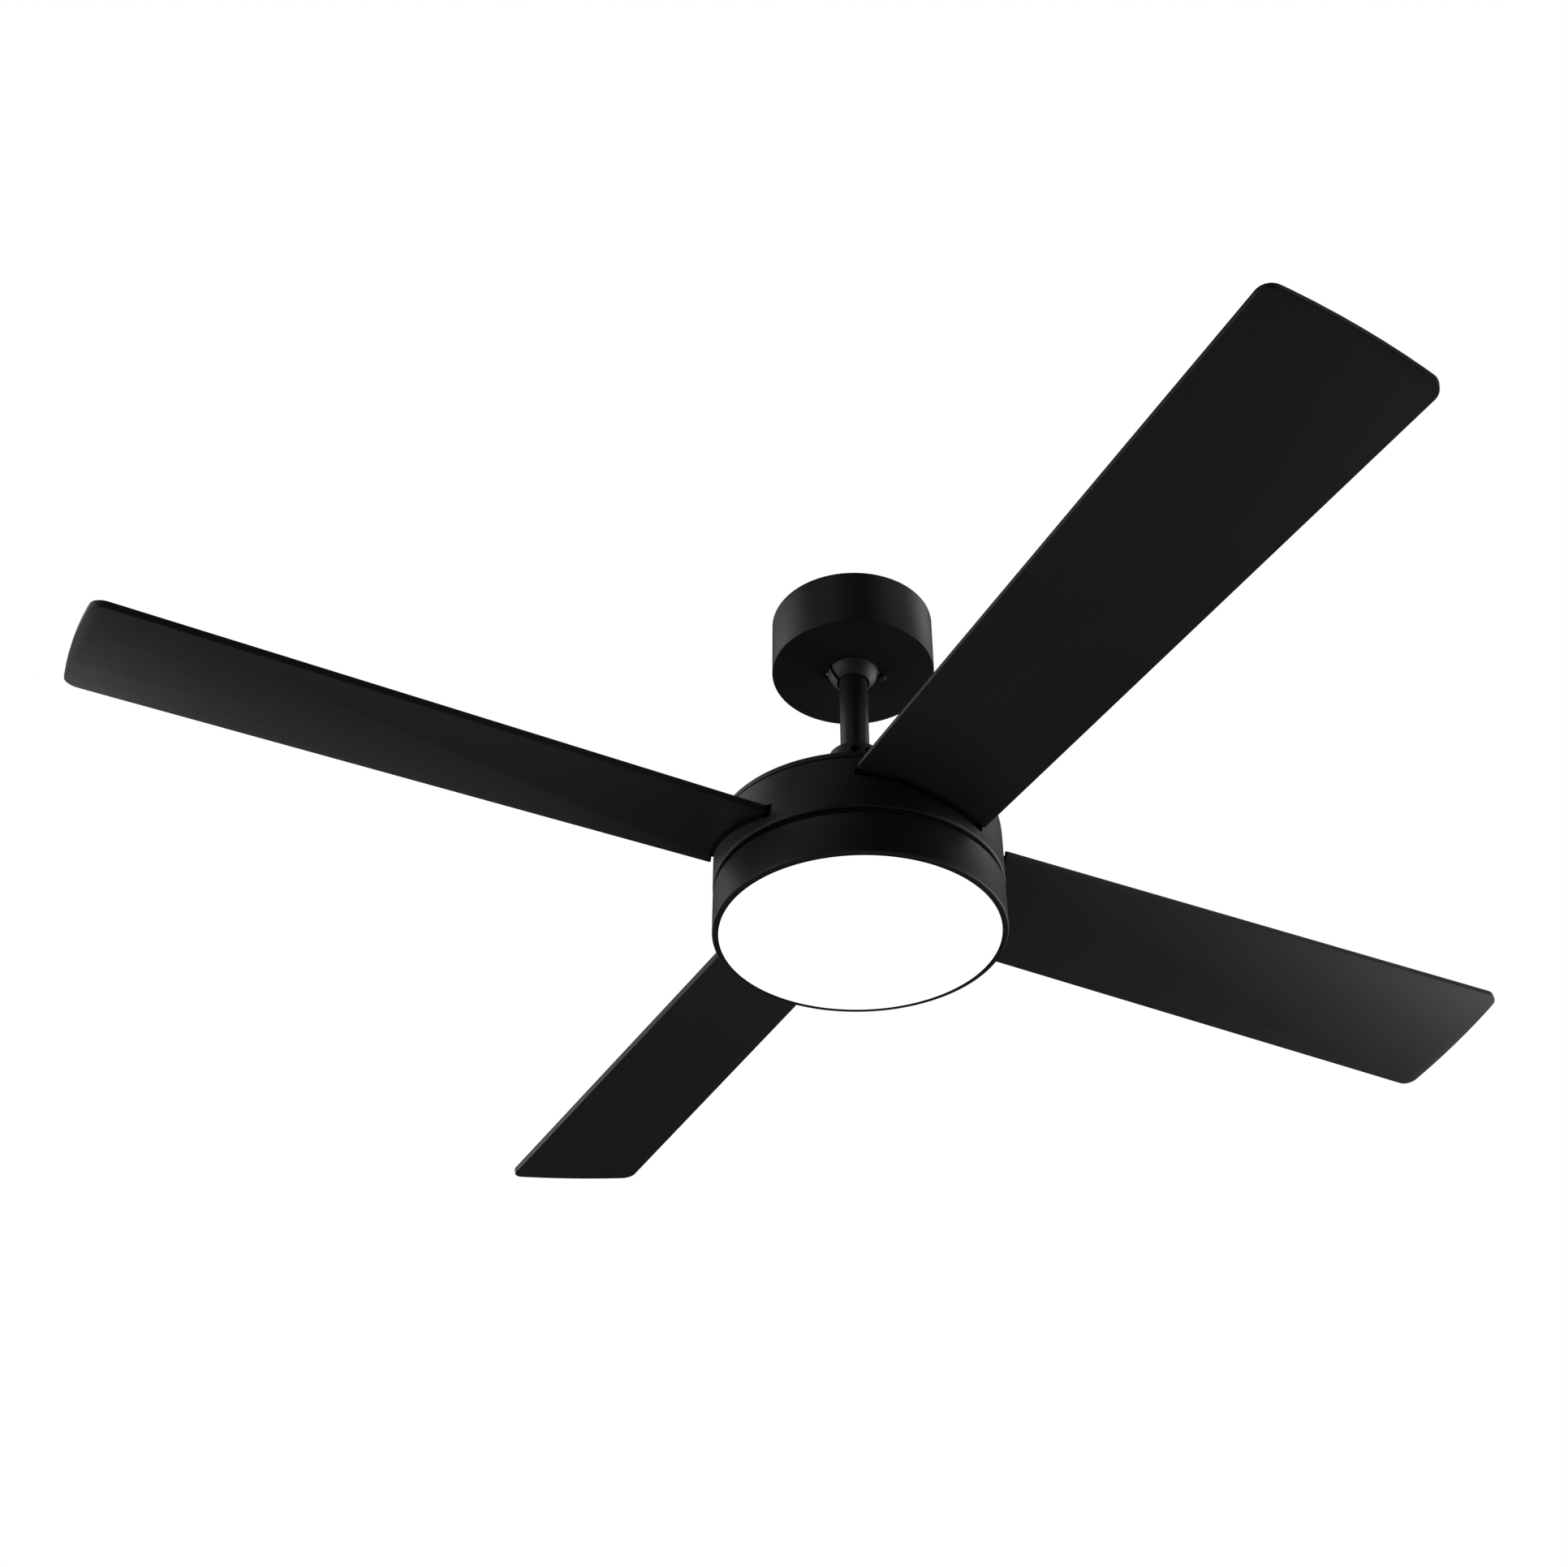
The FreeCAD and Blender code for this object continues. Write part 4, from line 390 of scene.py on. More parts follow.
def opal():
    """The lit opal acrylic: its face glows up to a near-black rim of painted shade round it, which stands
    in for the shaded gap under the lamp's lip.
    """
    material, tree, shader = shader_of("opal")
    point = object_point(tree)
    flat = tree.nodes.new("ShaderNodeVectorMath")
    flat.operation = "MULTIPLY"
    flat.inputs[1].default_value = (1.0, 1.0, 0.0)
    length = tree.nodes.new("ShaderNodeVectorMath")
    length.operation = "LENGTH"
    tree.links.new(point, flat.inputs[0])
    tree.links.new(flat.outputs["Vector"], length.inputs[0])
    face_end = DIFFUSER_FACE - DIFFUSER_PAINTED_SHADE_RIM
    painted_shade_start = face_end + DIFFUSER_PAINTED_SHADE_FADE
    reach = length.outputs["Value"]
    glow = spread(tree, reach, DIFFUSER_GLOW, 0.0, face_end, painted_shade_start)
    tree.links.new(glow, shader.inputs["Emission Strength"])
    grain = noise(tree, point, 700.0, 2.0)
    # Painted shade: the rim is coloured near black, standing in for the shade in the gap under the lamp's
    # lip.
    painted_shade_mix = tree.nodes.new("ShaderNodeMix")
    painted_shade_mix.data_type = "RGBA"
    painted_shade_mix.inputs[7].default_value = (0.02, 0.02, 0.02, 1.0)
    tree.links.new(spread(tree, reach, 0.0, 1.0, face_end, painted_shade_start), painted_shade_mix.inputs[0])
    tree.links.new(tint(tree, grain, (0.86, 0.86, 0.85), (0.90, 0.90, 0.89)), painted_shade_mix.inputs[6])
    tree.links.new(painted_shade_mix.outputs[2], shader.inputs["Base Color"])
    shader.inputs["Emission Color"].default_value = (1.0, 0.995, 0.985, 1.0)
    shader.inputs["Roughness"].default_value = 0.42
    bump(tree, shader, grain, 0.00002)
    return material


MATERIALS = {
    "black_coating": powder_coat(),
    "blade_black": blade_lacquer(),
    "opal_diffuser": opal(),
    "arm_black": grained("arm_black", (0.012, 0.012, 0.0125), (0.017, 0.017, 0.0175), 0.5,
                         scale=700.0, depth=0.00008),
    "ball_nylon": grained("ball_nylon", (0.048, 0.048, 0.049), (0.060, 0.060, 0.061), 0.52,
                          scale=1100.0, depth=0.00003),
    "black_screw": grained("black_screw", (0.070, 0.070, 0.072), (0.105, 0.105, 0.108), 0.6, 0.2),
    "zinc_steel": grained("zinc_steel", (0.46, 0.47, 0.49), (0.60, 0.61, 0.62), 0.38, 1.0,
                          scale=120.0, depth=0.00002, patch_scale=90.0),
    "screw_steel": grained("screw_steel", (0.36, 0.36, 0.37), (0.47, 0.47, 0.48), 0.32, 1.0,
                           scale=500.0, stretch=(1, 1, 8)),
    "bearing_steel": grained("bearing_steel", (0.60, 0.60, 0.61), (0.70, 0.70, 0.71), 0.16, 1.0),
    "laminated_steel": grained("laminated_steel", (0.14, 0.14, 0.15), (0.22, 0.22, 0.23), 0.45, 0.9,
                               scale=60.0, depth=0.0002, stretch=(0.1, 0.1, 30.0)),
    "copper_winding": grained("copper_winding", (0.42, 0.14, 0.05), (0.66, 0.27, 0.11), 0.3, 0.9,
                              scale=60.0, depth=0.0003, stretch=(0.3, 0.3, 20.0)),
    "ferrite": grained("ferrite", (0.05, 0.05, 0.053), (0.09, 0.09, 0.093), 0.6),
    "cast_aluminium": grained("cast_aluminium", (0.44, 0.45, 0.46), (0.58, 0.59, 0.60), 0.48, 0.95,
                              scale=420.0, depth=0.0001),
    "plate_aluminium": grained("plate_aluminium", (0.58, 0.59, 0.60), (0.70, 0.71, 0.72), 0.3, 1.0,
                               scale=500.0, stretch=(1, 30, 1)),
    "white_board": grained("white_board", (0.74, 0.75, 0.75), (0.84, 0.85, 0.85), 0.4),
    "led_phosphor": grained("led_phosphor", (0.78, 0.60, 0.16), (0.90, 0.74, 0.24), 0.25),
    "module_plastic": grained("module_plastic", (0.66, 0.66, 0.65), (0.76, 0.76, 0.75), 0.45),
    "circuit_green": grained("circuit_green", (0.010, 0.10, 0.035), (0.020, 0.17, 0.06), 0.35),
    "terminal_ivory": grained("terminal_ivory", (0.58, 0.54, 0.44), (0.68, 0.64, 0.54), 0.42),
}

for entry in frame["record"]["subparts"]:
    cad_node = frame["nodes"][entry["node"]]
    for material_slot in cad_node.material_slots:
        material_slot.material = MATERIALS[entry["material_slot"]]


# ---------------------------------------------------------------- mesh helpers

def finish_piece(mesh, name, material, body, replaced, place=None):
    """Shade a mesh, dress it, hang it on its body and hide the CAD nodes it stands for."""
    mesh.shade_smooth()
    mesh.set_sharp_from_angle(angle=SHARP_ANGLE)
    mesh.materials.clear()
    mesh.materials.append(MATERIALS[material])
    piece = bpy.data.objects.new(name, mesh)
    bpy.context.scene.collection.objects.link(piece)
    if place is not None:
        piece.matrix_world = place
    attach(piece, body)
    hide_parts(*replaced)


def mesh_from(name, bm):
    bmesh.ops.remove_doubles(bm, verts=bm.verts, dist=SAME_POINT)
    bmesh.ops.dissolve_degenerate(bm, edges=bm.edges, dist=NO_LENGTH)
    bmesh.ops.recalc_face_normals(bm, faces=bm.faces)
    mesh = bpy.data.meshes.new(name)
    bm.to_mesh(mesh)
    bm.free()
    return mesh


def rounded(points, steps=ROUND_STEPS):
    """A closed outline with an arc at each corner; a point is (x, y, radius)."""
    outline = []
    count = len(points)
    for index in range(count):
        before = Vector(points[index - 1][:2])
        corner = Vector(points[index][:2])
        after = Vector(points[(index + 1) % count][:2])
        radius = points[index][2] if len(points[index]) > 2 else 0.0
        if radius <= 0.0:
            outline.append(corner)
            continue
        back = (before - corner).normalized()
        ahead = (after - corner).normalized()
        half = back.angle(ahead) / 2
        run = radius / math.tan(half)
        middle = corner + (back + ahead).normalized() * (radius / math.sin(half))
        first = corner + back * run - middle
        last = corner + ahead * run - middle
        sweep = first.angle_signed(last)
        for step in range(steps + 1):
            turned = first.copy()
            turned.rotate(Matrix.Rotation(-sweep * step / steps, 2))
            outline.append(middle + turned)
    return outline


def turn_profile(name, profile, steps, reach_of=None):
    """Turn a closed profile of Vectors (reach, height) round the Z axis."""
    bm = bmesh.new()
    rings = []
    for step in range(steps):
        angle = TURN * step / steps
        ring = []
        for point in profile:
            reach = reach_of(angle, point) if reach_of else point.x
            ring.append(bm.verts.new((reach * math.cos(angle), reach * math.sin(angle), point.y)))
        rings.append(ring)
    for step in range(steps):
        ring, following = rings[step], rings[(step + 1) % steps]
        for index in range(len(profile)):
            other = (index + 1) % len(profile)
            bm.faces.new((ring[index], following[index], following[other], ring[other]))
    return mesh_from(name, bm)


def lathe(name, points, steps=LATHE_STEPS):
    """Turn a closed profile of (reach, height, corner radius) round the fan's axis."""
    return turn_profile(name, rounded(points), steps)


def box_outline(x_low, y_low, x_high, y_high):
    return [Vector(p) for p in ((x_low, y_low), (x_high, y_low), (x_high, y_high), (x_low, y_high))]


def slab(name, outline, low, high, edge=0.0):
    """A plate with the outline of Vectors, between two heights, its rims rounded by edge."""
    count = len(outline)
    inward = []
    for index in range(count):
        before = (outline[index] - outline[index - 1]).normalized()
        after = (outline[(index + 1) % count] - outline[index]).normalized()
        along = (before + after).normalized()
        stretch = 1 / max(along.dot(after), MITRE_LIMIT)
        inward.append(Vector((-along.y, along.x)) * stretch)
    layers = []
    if edge > 0:
        for step in range(RIM_STEPS + 1):
            turn = math.pi / 2 * step / RIM_STEPS
            layers.append((edge * (1 - math.sin(turn)), low + edge * (1 - math.cos(turn))))
        for step in range(RIM_STEPS, -1, -1):
            turn = math.pi / 2 * step / RIM_STEPS
            layers.append((edge * (1 - math.sin(turn)), high - edge * (1 - math.cos(turn))))
    else:
        layers = [(0.0, low), (0.0, high)]
    bm = bmesh.new()
    rings = []
    for inset, height in layers:
        ring = []
        for point, side in zip(outline, inward):
            moved = point + side * inset
            ring.append(bm.verts.new((moved.x, moved.y, height)))
        rings.append(ring)
    for lower, upper in zip(rings, rings[1:]):
        for index in range(count):
            other = (index + 1) % count
            bm.faces.new((lower[index], lower[other], upper[other], upper[index]))
    bm.faces.new(list(reversed(rings[0])))
    bm.faces.new(rings[-1])
    return mesh_from(name, bm)


def combined(mesh, tools, operation="DIFFERENCE"):
    """Cut or add tool meshes, each with its own placement, from or to a mesh."""
    block = bpy.data.objects.new("blank", mesh)
    bpy.context.scene.collection.objects.link(block)
    made = []
    for tool_mesh, place in tools:
        tool = bpy.data.objects.new("tool", tool_mesh)
        bpy.context.scene.collection.objects.link(tool)
        tool.matrix_world = place
        modifier = block.modifiers.new("cut", "BOOLEAN")
        modifier.operation = operation
        modifier.solver = "EXACT"
        modifier.object = tool
        made.append(tool)
    bpy.context.view_layer.update()
    graph = bpy.context.evaluated_depsgraph_get()
    result = bpy.data.meshes.new_from_object(block.evaluated_get(graph))
    result.name = mesh.name
    for item in [block] + made:
        bpy.data.objects.remove(item)
    return result


def circle(radius, steps=CIRCLE_STEPS):
    turns = [TURN * step / steps for step in range(steps)]
    return [Vector((radius * math.cos(turn), radius * math.sin(turn))) for turn in turns]


def joined(name, parts):
    """One mesh from several (mesh, placement) pairs."""
    bm = bmesh.new()
    for mesh, place in parts:
        start = len(bm.verts)
        bm.from_mesh(mesh)
        bm.verts.ensure_lookup_table()
        bmesh.ops.transform(bm, matrix=place, verts=bm.verts[start:])
    result = bpy.data.meshes.new(name)
    bm.to_mesh(result)
    bm.free()
    return result


def spun(degrees):
    return Matrix.Rotation(math.radians(degrees), 4, "Z")


def radial(degrees, height):
    """Local Z points outwards at the bearing; local X points down."""
    outwards = Matrix.Rotation(math.radians(90), 4, "Y")
    return Matrix.Translation((0, 0, height)) @ spun(degrees) @ outwards


# ---------------------------------------------------------------- canopy, its screw and the ball

def canopy():
    """The drawn cup, with the two holes for its thumb screws."""
    radius, low, high = CANOPY_HIGH.x, CANOPY_LOW.z, CANOPY_HIGH.z
    wall = CANOPY_WALL
    mesh = lathe("canopy", [
        (CANOPY_HOLE, low, THIN_EDGE), (radius, low, CANOPY_EDGE), (radius, high, THIN_EDGE),
        (radius - wall, high, THIN_EDGE), (radius - wall, low + wall, CANOPY_INNER_EDGE),
        (CANOPY_HOLE, low + wall, THIN_EDGE),
    ])
    cutters = []
    for side in (CANOPY_SCREW_SIDE, CANOPY_SCREW_SIDE + 180):
        hole = slab("canopy_hole", circle(CANOPY_SCREW_HOLE), low - wall, low + 2 * wall)
        cutters.append((hole, spun(side) @ Matrix.Translation((CANOPY_SCREW_REACH, 0, 0))))
    finish_piece(combined(mesh, cutters), "canopy_cup", "black_coating", "ceiling_mount", ["canopy"])


def thumb_screw():
    """The knurled thumb screw: a narrow collar, a knurled grip and a slotted end."""
    bottom, top = SCREW_LOW.z, CANOPY_LOW.z
    grip = (SCREW_HIGH.x - SCREW_LOW.x) / 2
    neck = grip - THUMB_NECK_INSET
    seat = top - THUMB_GAP
    profile = rounded([
        (0, bottom, 0), (grip - THUMB_BEVEL, bottom, THUMB_EDGE), (grip, bottom + THUMB_BEVEL, THUMB_EDGE),
        (grip, top - THUMB_SHOULDER, THIN_EDGE), (neck, top - THUMB_NECK, THUMB_EDGE), (neck, seat, 0),
        (THUMB_SHANK, seat, 0), (THUMB_SHANK, SCREW_HIGH.z, THIN_EDGE), (0, SCREW_HIGH.z, 0),
    ])

    def knurled(angle, point):
        if point.x < grip - THUMB_RIB_BAND:
            return point.x
        return point.x - THUMB_RIB_DEPTH * (0.5 + 0.5 * math.cos(THUMB_RIBS * angle))

    mesh = turn_profile("thumb_screw", profile, THUMB_STEPS, knurled)
    driver_slot = box_outline(-THUMB_SLOT_REACH, -THUMB_SLOT, THUMB_SLOT_REACH, THUMB_SLOT)
    slot_cut = slab("thumb_slot", driver_slot, bottom - PAST, bottom + THUMB_SLOT_DEPTH)
    mesh = combined(mesh, [(slot_cut, spun(0))])
    place = spun(CANOPY_SCREW_SIDE) @ Matrix.Translation((CANOPY_SCREW_REACH, 0, 0))
    finish_piece(mesh, "thumb_screw", "black_screw", "ceiling_mount", ["canopy_screw"], place=place)


def ball():
    """The hanger ball, with flats, bore, key slot and the notches for the rod's pin."""
    below, above, middle = BALL_LOW.z, BALL_HIGH.z, -BALL_DROP
    first = math.asin((below - middle) / BALL_RADIUS)
    last = math.asin((above - middle) / BALL_RADIUS)
    profile = [Vector((BALL_BORE, above)), Vector((BALL_BORE, below))]
    for step in range(BALL_ARC_STEPS + 1):
        angle = first + (last - first) * step / BALL_ARC_STEPS
        profile.append(Vector((BALL_RADIUS * math.cos(angle), middle + BALL_RADIUS * math.sin(angle))))
    mesh = turn_profile("ball", profile, BALL_STEPS)
    slot_cut = slab("ball_slot", box_outline(-BALL_RADIUS - PAST, -BALL_SLOT, -BALL_SLOT_INNER, BALL_SLOT),
                    below - BALL_CUT_PAST, middle + BALL_SLOT_ABOVE)
    notch = slab("ball_notch", box_outline(-BALL_NOTCH, -BALL_NOTCH_REACH, BALL_NOTCH, BALL_NOTCH_REACH),
                 above - BALL_NOTCH_DEPTH, above + BALL_CUT_PAST)
    mesh = combined(mesh, [(slot_cut, spun(0)), (notch, spun(0))])
    finish_piece(mesh, "hanger_ball_satin", "ball_nylon", "hanging", ["hanger_ball"])


def rod():
    """The downrod tube with its two cross holes."""
    outer = ROD_HIGH.x
    inner = outer - ROD_WALL
    mesh = lathe("rod", [
        (inner, ROD_LOW.z, THIN_EDGE), (outer, ROD_LOW.z, THIN_EDGE),
        (outer, ROD_HIGH.z, THIN_EDGE), (inner, ROD_HIGH.z, THIN_EDGE),
    ], ROD_STEPS)
    pin = slab("pin_hole", circle(ROD_PIN_RADIUS, HOLE_STEPS), -ROD_CUT_REACH, ROD_CUT_REACH)
    low_pin = slab("low_pin_hole", circle(COUPLING_PIN_RADIUS, HOLE_STEPS), -ROD_CUT_REACH, ROD_CUT_REACH)
    cuts = [(pin, radial(90, -ROD_PIN_DROP)), (low_pin, radial(0, -COUPLING_PIN_DROP))]
    finish_piece(combined(mesh, cuts), "rod_tube", "black_coating", "hanging", ["downrod"])


# ---------------------------------------------------------------- coupling

def coupling():
    """The cast coupling, with set-screw holes and a hole for the cross pin."""
    outer, top, bottom = COUPLING_HIGH.x, COUPLING_HIGH.z, COUPLING_LOW.z
    mesh = lathe("coupling", [
        (SHAFT_RADIUS, bottom, 0), (COUPLING_NECK, bottom, COUPLING_NECK_EDGE),
        (COUPLING_NECK, -COUPLING_STEP - COUPLING_TAPER, COUPLING_TAPER_EDGE),
        (outer, -COUPLING_STEP, COUPLING_EDGE), (outer, top, COUPLING_EDGE),
        (COUPLING_BORE, top, THIN_EDGE), (COUPLING_BORE, -COUPLING_FLOOR, 0),
        (SHAFT_RADIUS, -COUPLING_FLOOR, 0),
    ], COUPLING_STEPS)
    cutters = []
    for side in COUPLING_SCREW_SIDES:
        drill = turn_profile("screw_hole", [
            Vector((0, DRILL_START)), Vector((COUPLING_SCREW_HOLE, DRILL_START)),
            Vector((COUPLING_SCREW_HOLE, outer - DRILL_BEVEL_DEPTH)),
            Vector((COUPLING_SCREW_HOLE + DRILL_BEVEL_FLARE, outer + DRILL_PAST)),
            Vector((0, outer + DRILL_PAST)),
        ], COUPLING_PIN_STEPS)
        cutters.append((drill, radial(side, -COUPLING_SCREW_DROP)))
    pin = slab("pin_hole", circle(COUPLING_PIN_RADIUS, COUPLING_PIN_STEPS), -COUPLING_CUT_REACH,
               COUPLING_CUT_REACH)
    cutters.append((pin, radial(0, -COUPLING_PIN_DROP)))
    finish_piece(combined(mesh, cutters), "coupling_casting", "black_coating", "hanging", ["coupling"])


def set_screws():
    """Two hexagon-socket set screws with chamfered ends."""
    radius = COUPLING_SCREW_HOLE - SET_SCREW_GAP
    inner, outer = ROD_HIGH.x + SET_SCREW_GAP, COUPLING_HIGH.x - SET_SCREW_RECESS
    parts = []
    for side in COUPLING_SCREW_SIDES:
        screw = turn_profile("set_screw", rounded([
            (0, inner, 0), (radius - SET_SCREW_TIP, inner, 0), (radius, inner + SET_SCREW_TIP, 0),
            (radius, outer - SET_SCREW_BEVEL, 0), (radius - SET_SCREW_BEVEL, outer, 0), (0, outer, 0),
        ]), COUPLING_PIN_STEPS)
        socket = slab("socket", circle(SOCKET_RADIUS, SOCKET_SIDES), SOCKET_FLOOR, SOCKET_CUT_END)
        parts.append((combined(screw, [(socket, spun(0))]), radial(side, -COUPLING_SCREW_DROP)))
    finish_piece(joined("set_screws", parts), "set_screws", "black_screw", "hanging", ["coupling_screws"])


# ---------------------------------------------------------------- housing

# A local plane whose X is the blade's side, Y is up and Z runs out along the blade.
SIDE_PLANE = Matrix(((0, 0, 1, 0), (1, 0, 0, 0), (0, 1, 0, 0), (0, 0, 0, 1)))


def housing_cover():
    """The top disc with its short rim."""
    radius, top, rim = COVER_HIGH.x, COVER_HIGH.z, COVER_LOW.z
    wall = HOUSING_WALL
    mesh = lathe("housing_cover", [
        (COVER_HOLE, top - wall, THIN_EDGE), (radius - wall, top - wall, THIN_EDGE),
        (radius - wall, rim, THIN_EDGE), (radius, rim, COVER_RIM_EDGE), (radius, top, COVER_TOP_EDGE),
        (COVER_HOLE, top, COVER_HOLE_EDGE),
    ])
    finish_piece(mesh, "housing_top", "black_coating", "rotor", ["housing_cover"])


def slot_outline():
    """The long slot behind the blade's root, along the blade's pitch."""
    across, lift = math.cos(PITCH), math.sin(PITCH)
    corner_points = []
    for side, height in ((-SLOT_TRAIL, -SLOT_BELOW), (SLOT_LEAD, -SLOT_BELOW),
                         (SLOT_LEAD, SLOT_ABOVE), (-SLOT_TRAIL, SLOT_ABOVE)):
        corner_points.append((side * across + height * lift, height * across - side * lift - BLADE_DROP,
                           SLOT_CORNER))
    return rounded(corner_points, SLOT_CORNER_STEPS)


def motor_housing():
    """The spinning side wall with its flange, lip, rounded lower bead and four slots."""
    radius, low = HOUSING_HIGH.x, HOUSING_LOW.z
    wall = HOUSING_WALL
    top = HOUSING_HIGH.z
    neck = COVER_HIGH.x - wall - HOUSING_NECK_GAP
    shoulder = -HOUSING_SHOULDER
    lip, lip_top = radius - HOUSING_LIP, low + HOUSING_LIP_HEIGHT
    mesh = lathe("motor_housing", [
        (HOUSING_FLANGE_REACH, top, THIN_EDGE), (neck, top, THIN_EDGE), (neck, shoulder, 0),
        (radius, shoulder, HOUSING_SHOULDER_EDGE), (radius, low, HOUSING_BEAD), (lip, low, THIN_EDGE),
        (lip, lip_top, THIN_EDGE), (radius - wall, lip_top, 0),
        (radius - wall, shoulder - wall, 0), (neck - wall, shoulder - wall, 0),
        (neck - wall, top - wall, 0), (HOUSING_FLANGE_REACH, top - wall, THIN_EDGE),
    ])
    cutters = []
    for turn in BLADE_TURNS:
        cutters.append((slab("slot", slot_outline(), *SLOT_CUT), spun(turn) @ SIDE_PLANE))
    finish_piece(combined(mesh, cutters), "housing_shell", "black_coating", "rotor", ["motor_housing"])


# ---------------------------------------------------------------- screws with domed heads

def pan_head():
    """A domed head with a crossed recess, its seat at height nought and its shank below."""
    radius, height = HEAD_RADIUS, HEAD_HEIGHT
    screw = turn_profile("pan_head", rounded([
        (0, -HEAD_SHANK_LENGTH, 0), (HEAD_SHANK, -HEAD_SHANK_LENGTH, HEAD_SHANK_EDGE), (HEAD_SHANK, 0, 0),
        (radius, 0, HEAD_FOOT_EDGE), (radius, height * HEAD_SHOULDER, height * HEAD_SHOULDER_EDGE),
        (radius * HEAD_CROWN, height, height * HEAD_CROWN_EDGE), (0, height, 0),
    ]), HEAD_STEPS)
    reach = radius * CROSS_REACH
    cross = slab("recess", box_outline(-reach, -CROSS_WING, reach, CROSS_WING), height - CROSS_DEPTH,
                 height + PAST)
    return combined(screw, [(cross, spun(0)), (cross.copy(), spun(90))])


def head_set(name, node, places):
    """One piece made of the same domed screw at several places."""
    parts = [(pan_head(), place) for place in places]
    finish_piece(joined(name, parts), name, "screw_steel", "rotor", [node])


def screw_ring(screws, height):
    """Places round the fan's axis, each head stopped at a turn of its own."""
    step = 360 / screws["count"]
    seat = Matrix.Translation((screws["reach"], 0, height))
    return [spun(step * number) @ seat @ spun(screws["turn"] * number) for number in range(screws["count"])]


def blade_frame(turn):
    """The frame of a blade's lower face: X along the blade, Z through its thickness."""
    return spun(turn) @ Matrix.Translation((0, 0, -BLADE_DROP)) @ Matrix.Rotation(-PITCH, 4, "X")


def rotor_screws():
    """The screws on the cover and those that hold the blades to their arms."""
    head_set("cover_screw_heads", "cover_screws", screw_ring(COVER_SCREWS, COVER_HIGH.z))
    head_set("housing_screw_heads", "housing_screws", screw_ring(HOUSING_SCREWS, COVER_HIGH.z))
    held = []
    for turn in BLADE_TURNS:
        for number, (x, y) in enumerate(BLADE_SCREWS):
            at = blade_frame(turn) @ Matrix.Translation((x, y, BLADE_THICKNESS))
            held.append(at @ spun(30 * number + turn / 3))
    head_set("blade_screw_heads", "blade_screws", held)


# ---------------------------------------------------------------- blades and arms

def arc_points(radius, start, end, steps):
    """Points on a circle between two side offsets, ends left out."""
    first, last = math.asin(start / radius), math.asin(end / radius)
    return [(radius * math.cos(first + (last - first) * i / steps),
             radius * math.sin(first + (last - first) * i / steps)) for i in range(1, steps)]


def blade_outline():
    (trail_root, trail_tip), (lead_root, lead_tip) = BLADE_SIDES["trail"], BLADE_SIDES["lead"]

    def on(radius, side, rounding):
        return (math.sqrt(radius ** 2 - side ** 2), side, rounding)

    points = [on(BLADE_ROOT, -trail_root, ROOT_CORNER), on(BLADE_TIP, -trail_tip, BLADE_CORNER)]
    points += arc_points(BLADE_TIP, -trail_tip, lead_tip, BLADE_TIP_STEPS)
    points += [on(BLADE_TIP, lead_tip, BLADE_CORNER), on(BLADE_ROOT, lead_root, ROOT_CORNER)]
    points += arc_points(BLADE_ROOT, lead_root, -trail_root, BLADE_ROOT_STEPS)
    return rounded(points, BLADE_CORNER_STEPS)


def arm_outline(gap):
    """The arm plate's outline seen along the blade's normal."""
    trail, lead = ARM_SIDES["trail"] + gap, ARM_SIDES["lead"] + gap
    half, soft = ARM_TONGUE + gap, ARM_CORNER
    shoulder, neck, end = ARM_SHOULDER + gap, ARM_NECK + gap, ARM_END + gap
    chamfer_start, chamfer_side = end - ARM_END_CHAMFER, half - ARM_END_CHAMFER
    return rounded([
        (ARM_INNER, -ARM_INNER_SIDES["trail"]), (ARM_WIDEST, -trail), (shoulder, -trail, soft),
        (neck, -half, soft), (chamfer_start, -half, soft), (end, -chamfer_side, soft),
        (end, chamfer_side, soft), (chamfer_start, half, soft), (neck, half, soft),
        (shoulder, lead, soft), (ARM_WIDEST, lead), (ARM_INNER, ARM_INNER_SIDES["lead"]),
    ])


def blades():
    """Four boards with rounded edges, each let in on top for its arm."""
    for number, turn in enumerate(BLADE_TURNS, start=1):
        board = slab("board", blade_outline(), 0, BLADE_THICKNESS, BLADE_EDGE)
        recess = slab("recess", arm_outline(ARM_GAP), ARM_LEVEL, BLADE_THICKNESS + 2 * PAST)
        mesh = combined(board, [(recess, spun(0))])
        node = f"blade_{number}"
        finish_piece(mesh, f"{node}_board", "blade_black", "rotor", [node], place=blade_frame(turn))


def arms():
    """Four cast arms: a wedge foot on the rotor's flange and a plate let into the blade."""
    level = (ARM_LEVEL + FOOT_OVERLAP) / math.cos(PITCH) - BLADE_DROP
    trail, lead = -ARM_INNER_SIDES["trail"] * math.cos(PITCH), ARM_INNER_SIDES["lead"] * math.cos(PITCH)
    foot_outline = rounded([
        (trail, -FLANGE_TOP), (lead, -FLANGE_TOP), (lead, level - lead * math.tan(PITCH)),
        (trail, level - trail * math.tan(PITCH)),
    ])
    to_blade = blade_frame(0).inverted()
    for number, turn in enumerate(BLADE_TURNS, start=1):
        foot = slab("foot", foot_outline, ARM_INNER, FOOT_OUTER)
        plate = slab("plate", arm_outline(0), ARM_LEVEL, BLADE_THICKNESS, ARM_EDGE)
        mesh = combined(plate, [(foot, to_blade @ SIDE_PLANE)], "UNION")
        wells = []
        for side in WELL_SIDES:
            well = slab("well", circle(WELL_RADIUS, HOLE_STEPS), -FLANGE_TOP + WELL_FLOOR,
                        -FLANGE_TOP + WELL_TOP)
            wells.append((well, to_blade @ Matrix.Translation((WELL_REACH, side, 0))))
        node = f"blade_arm_{number}"
        finish_piece(combined(mesh, wells), f"{node}_casting", "arm_black", "rotor", [node],
                     place=blade_frame(turn))


# ---------------------------------------------------------------- lamp

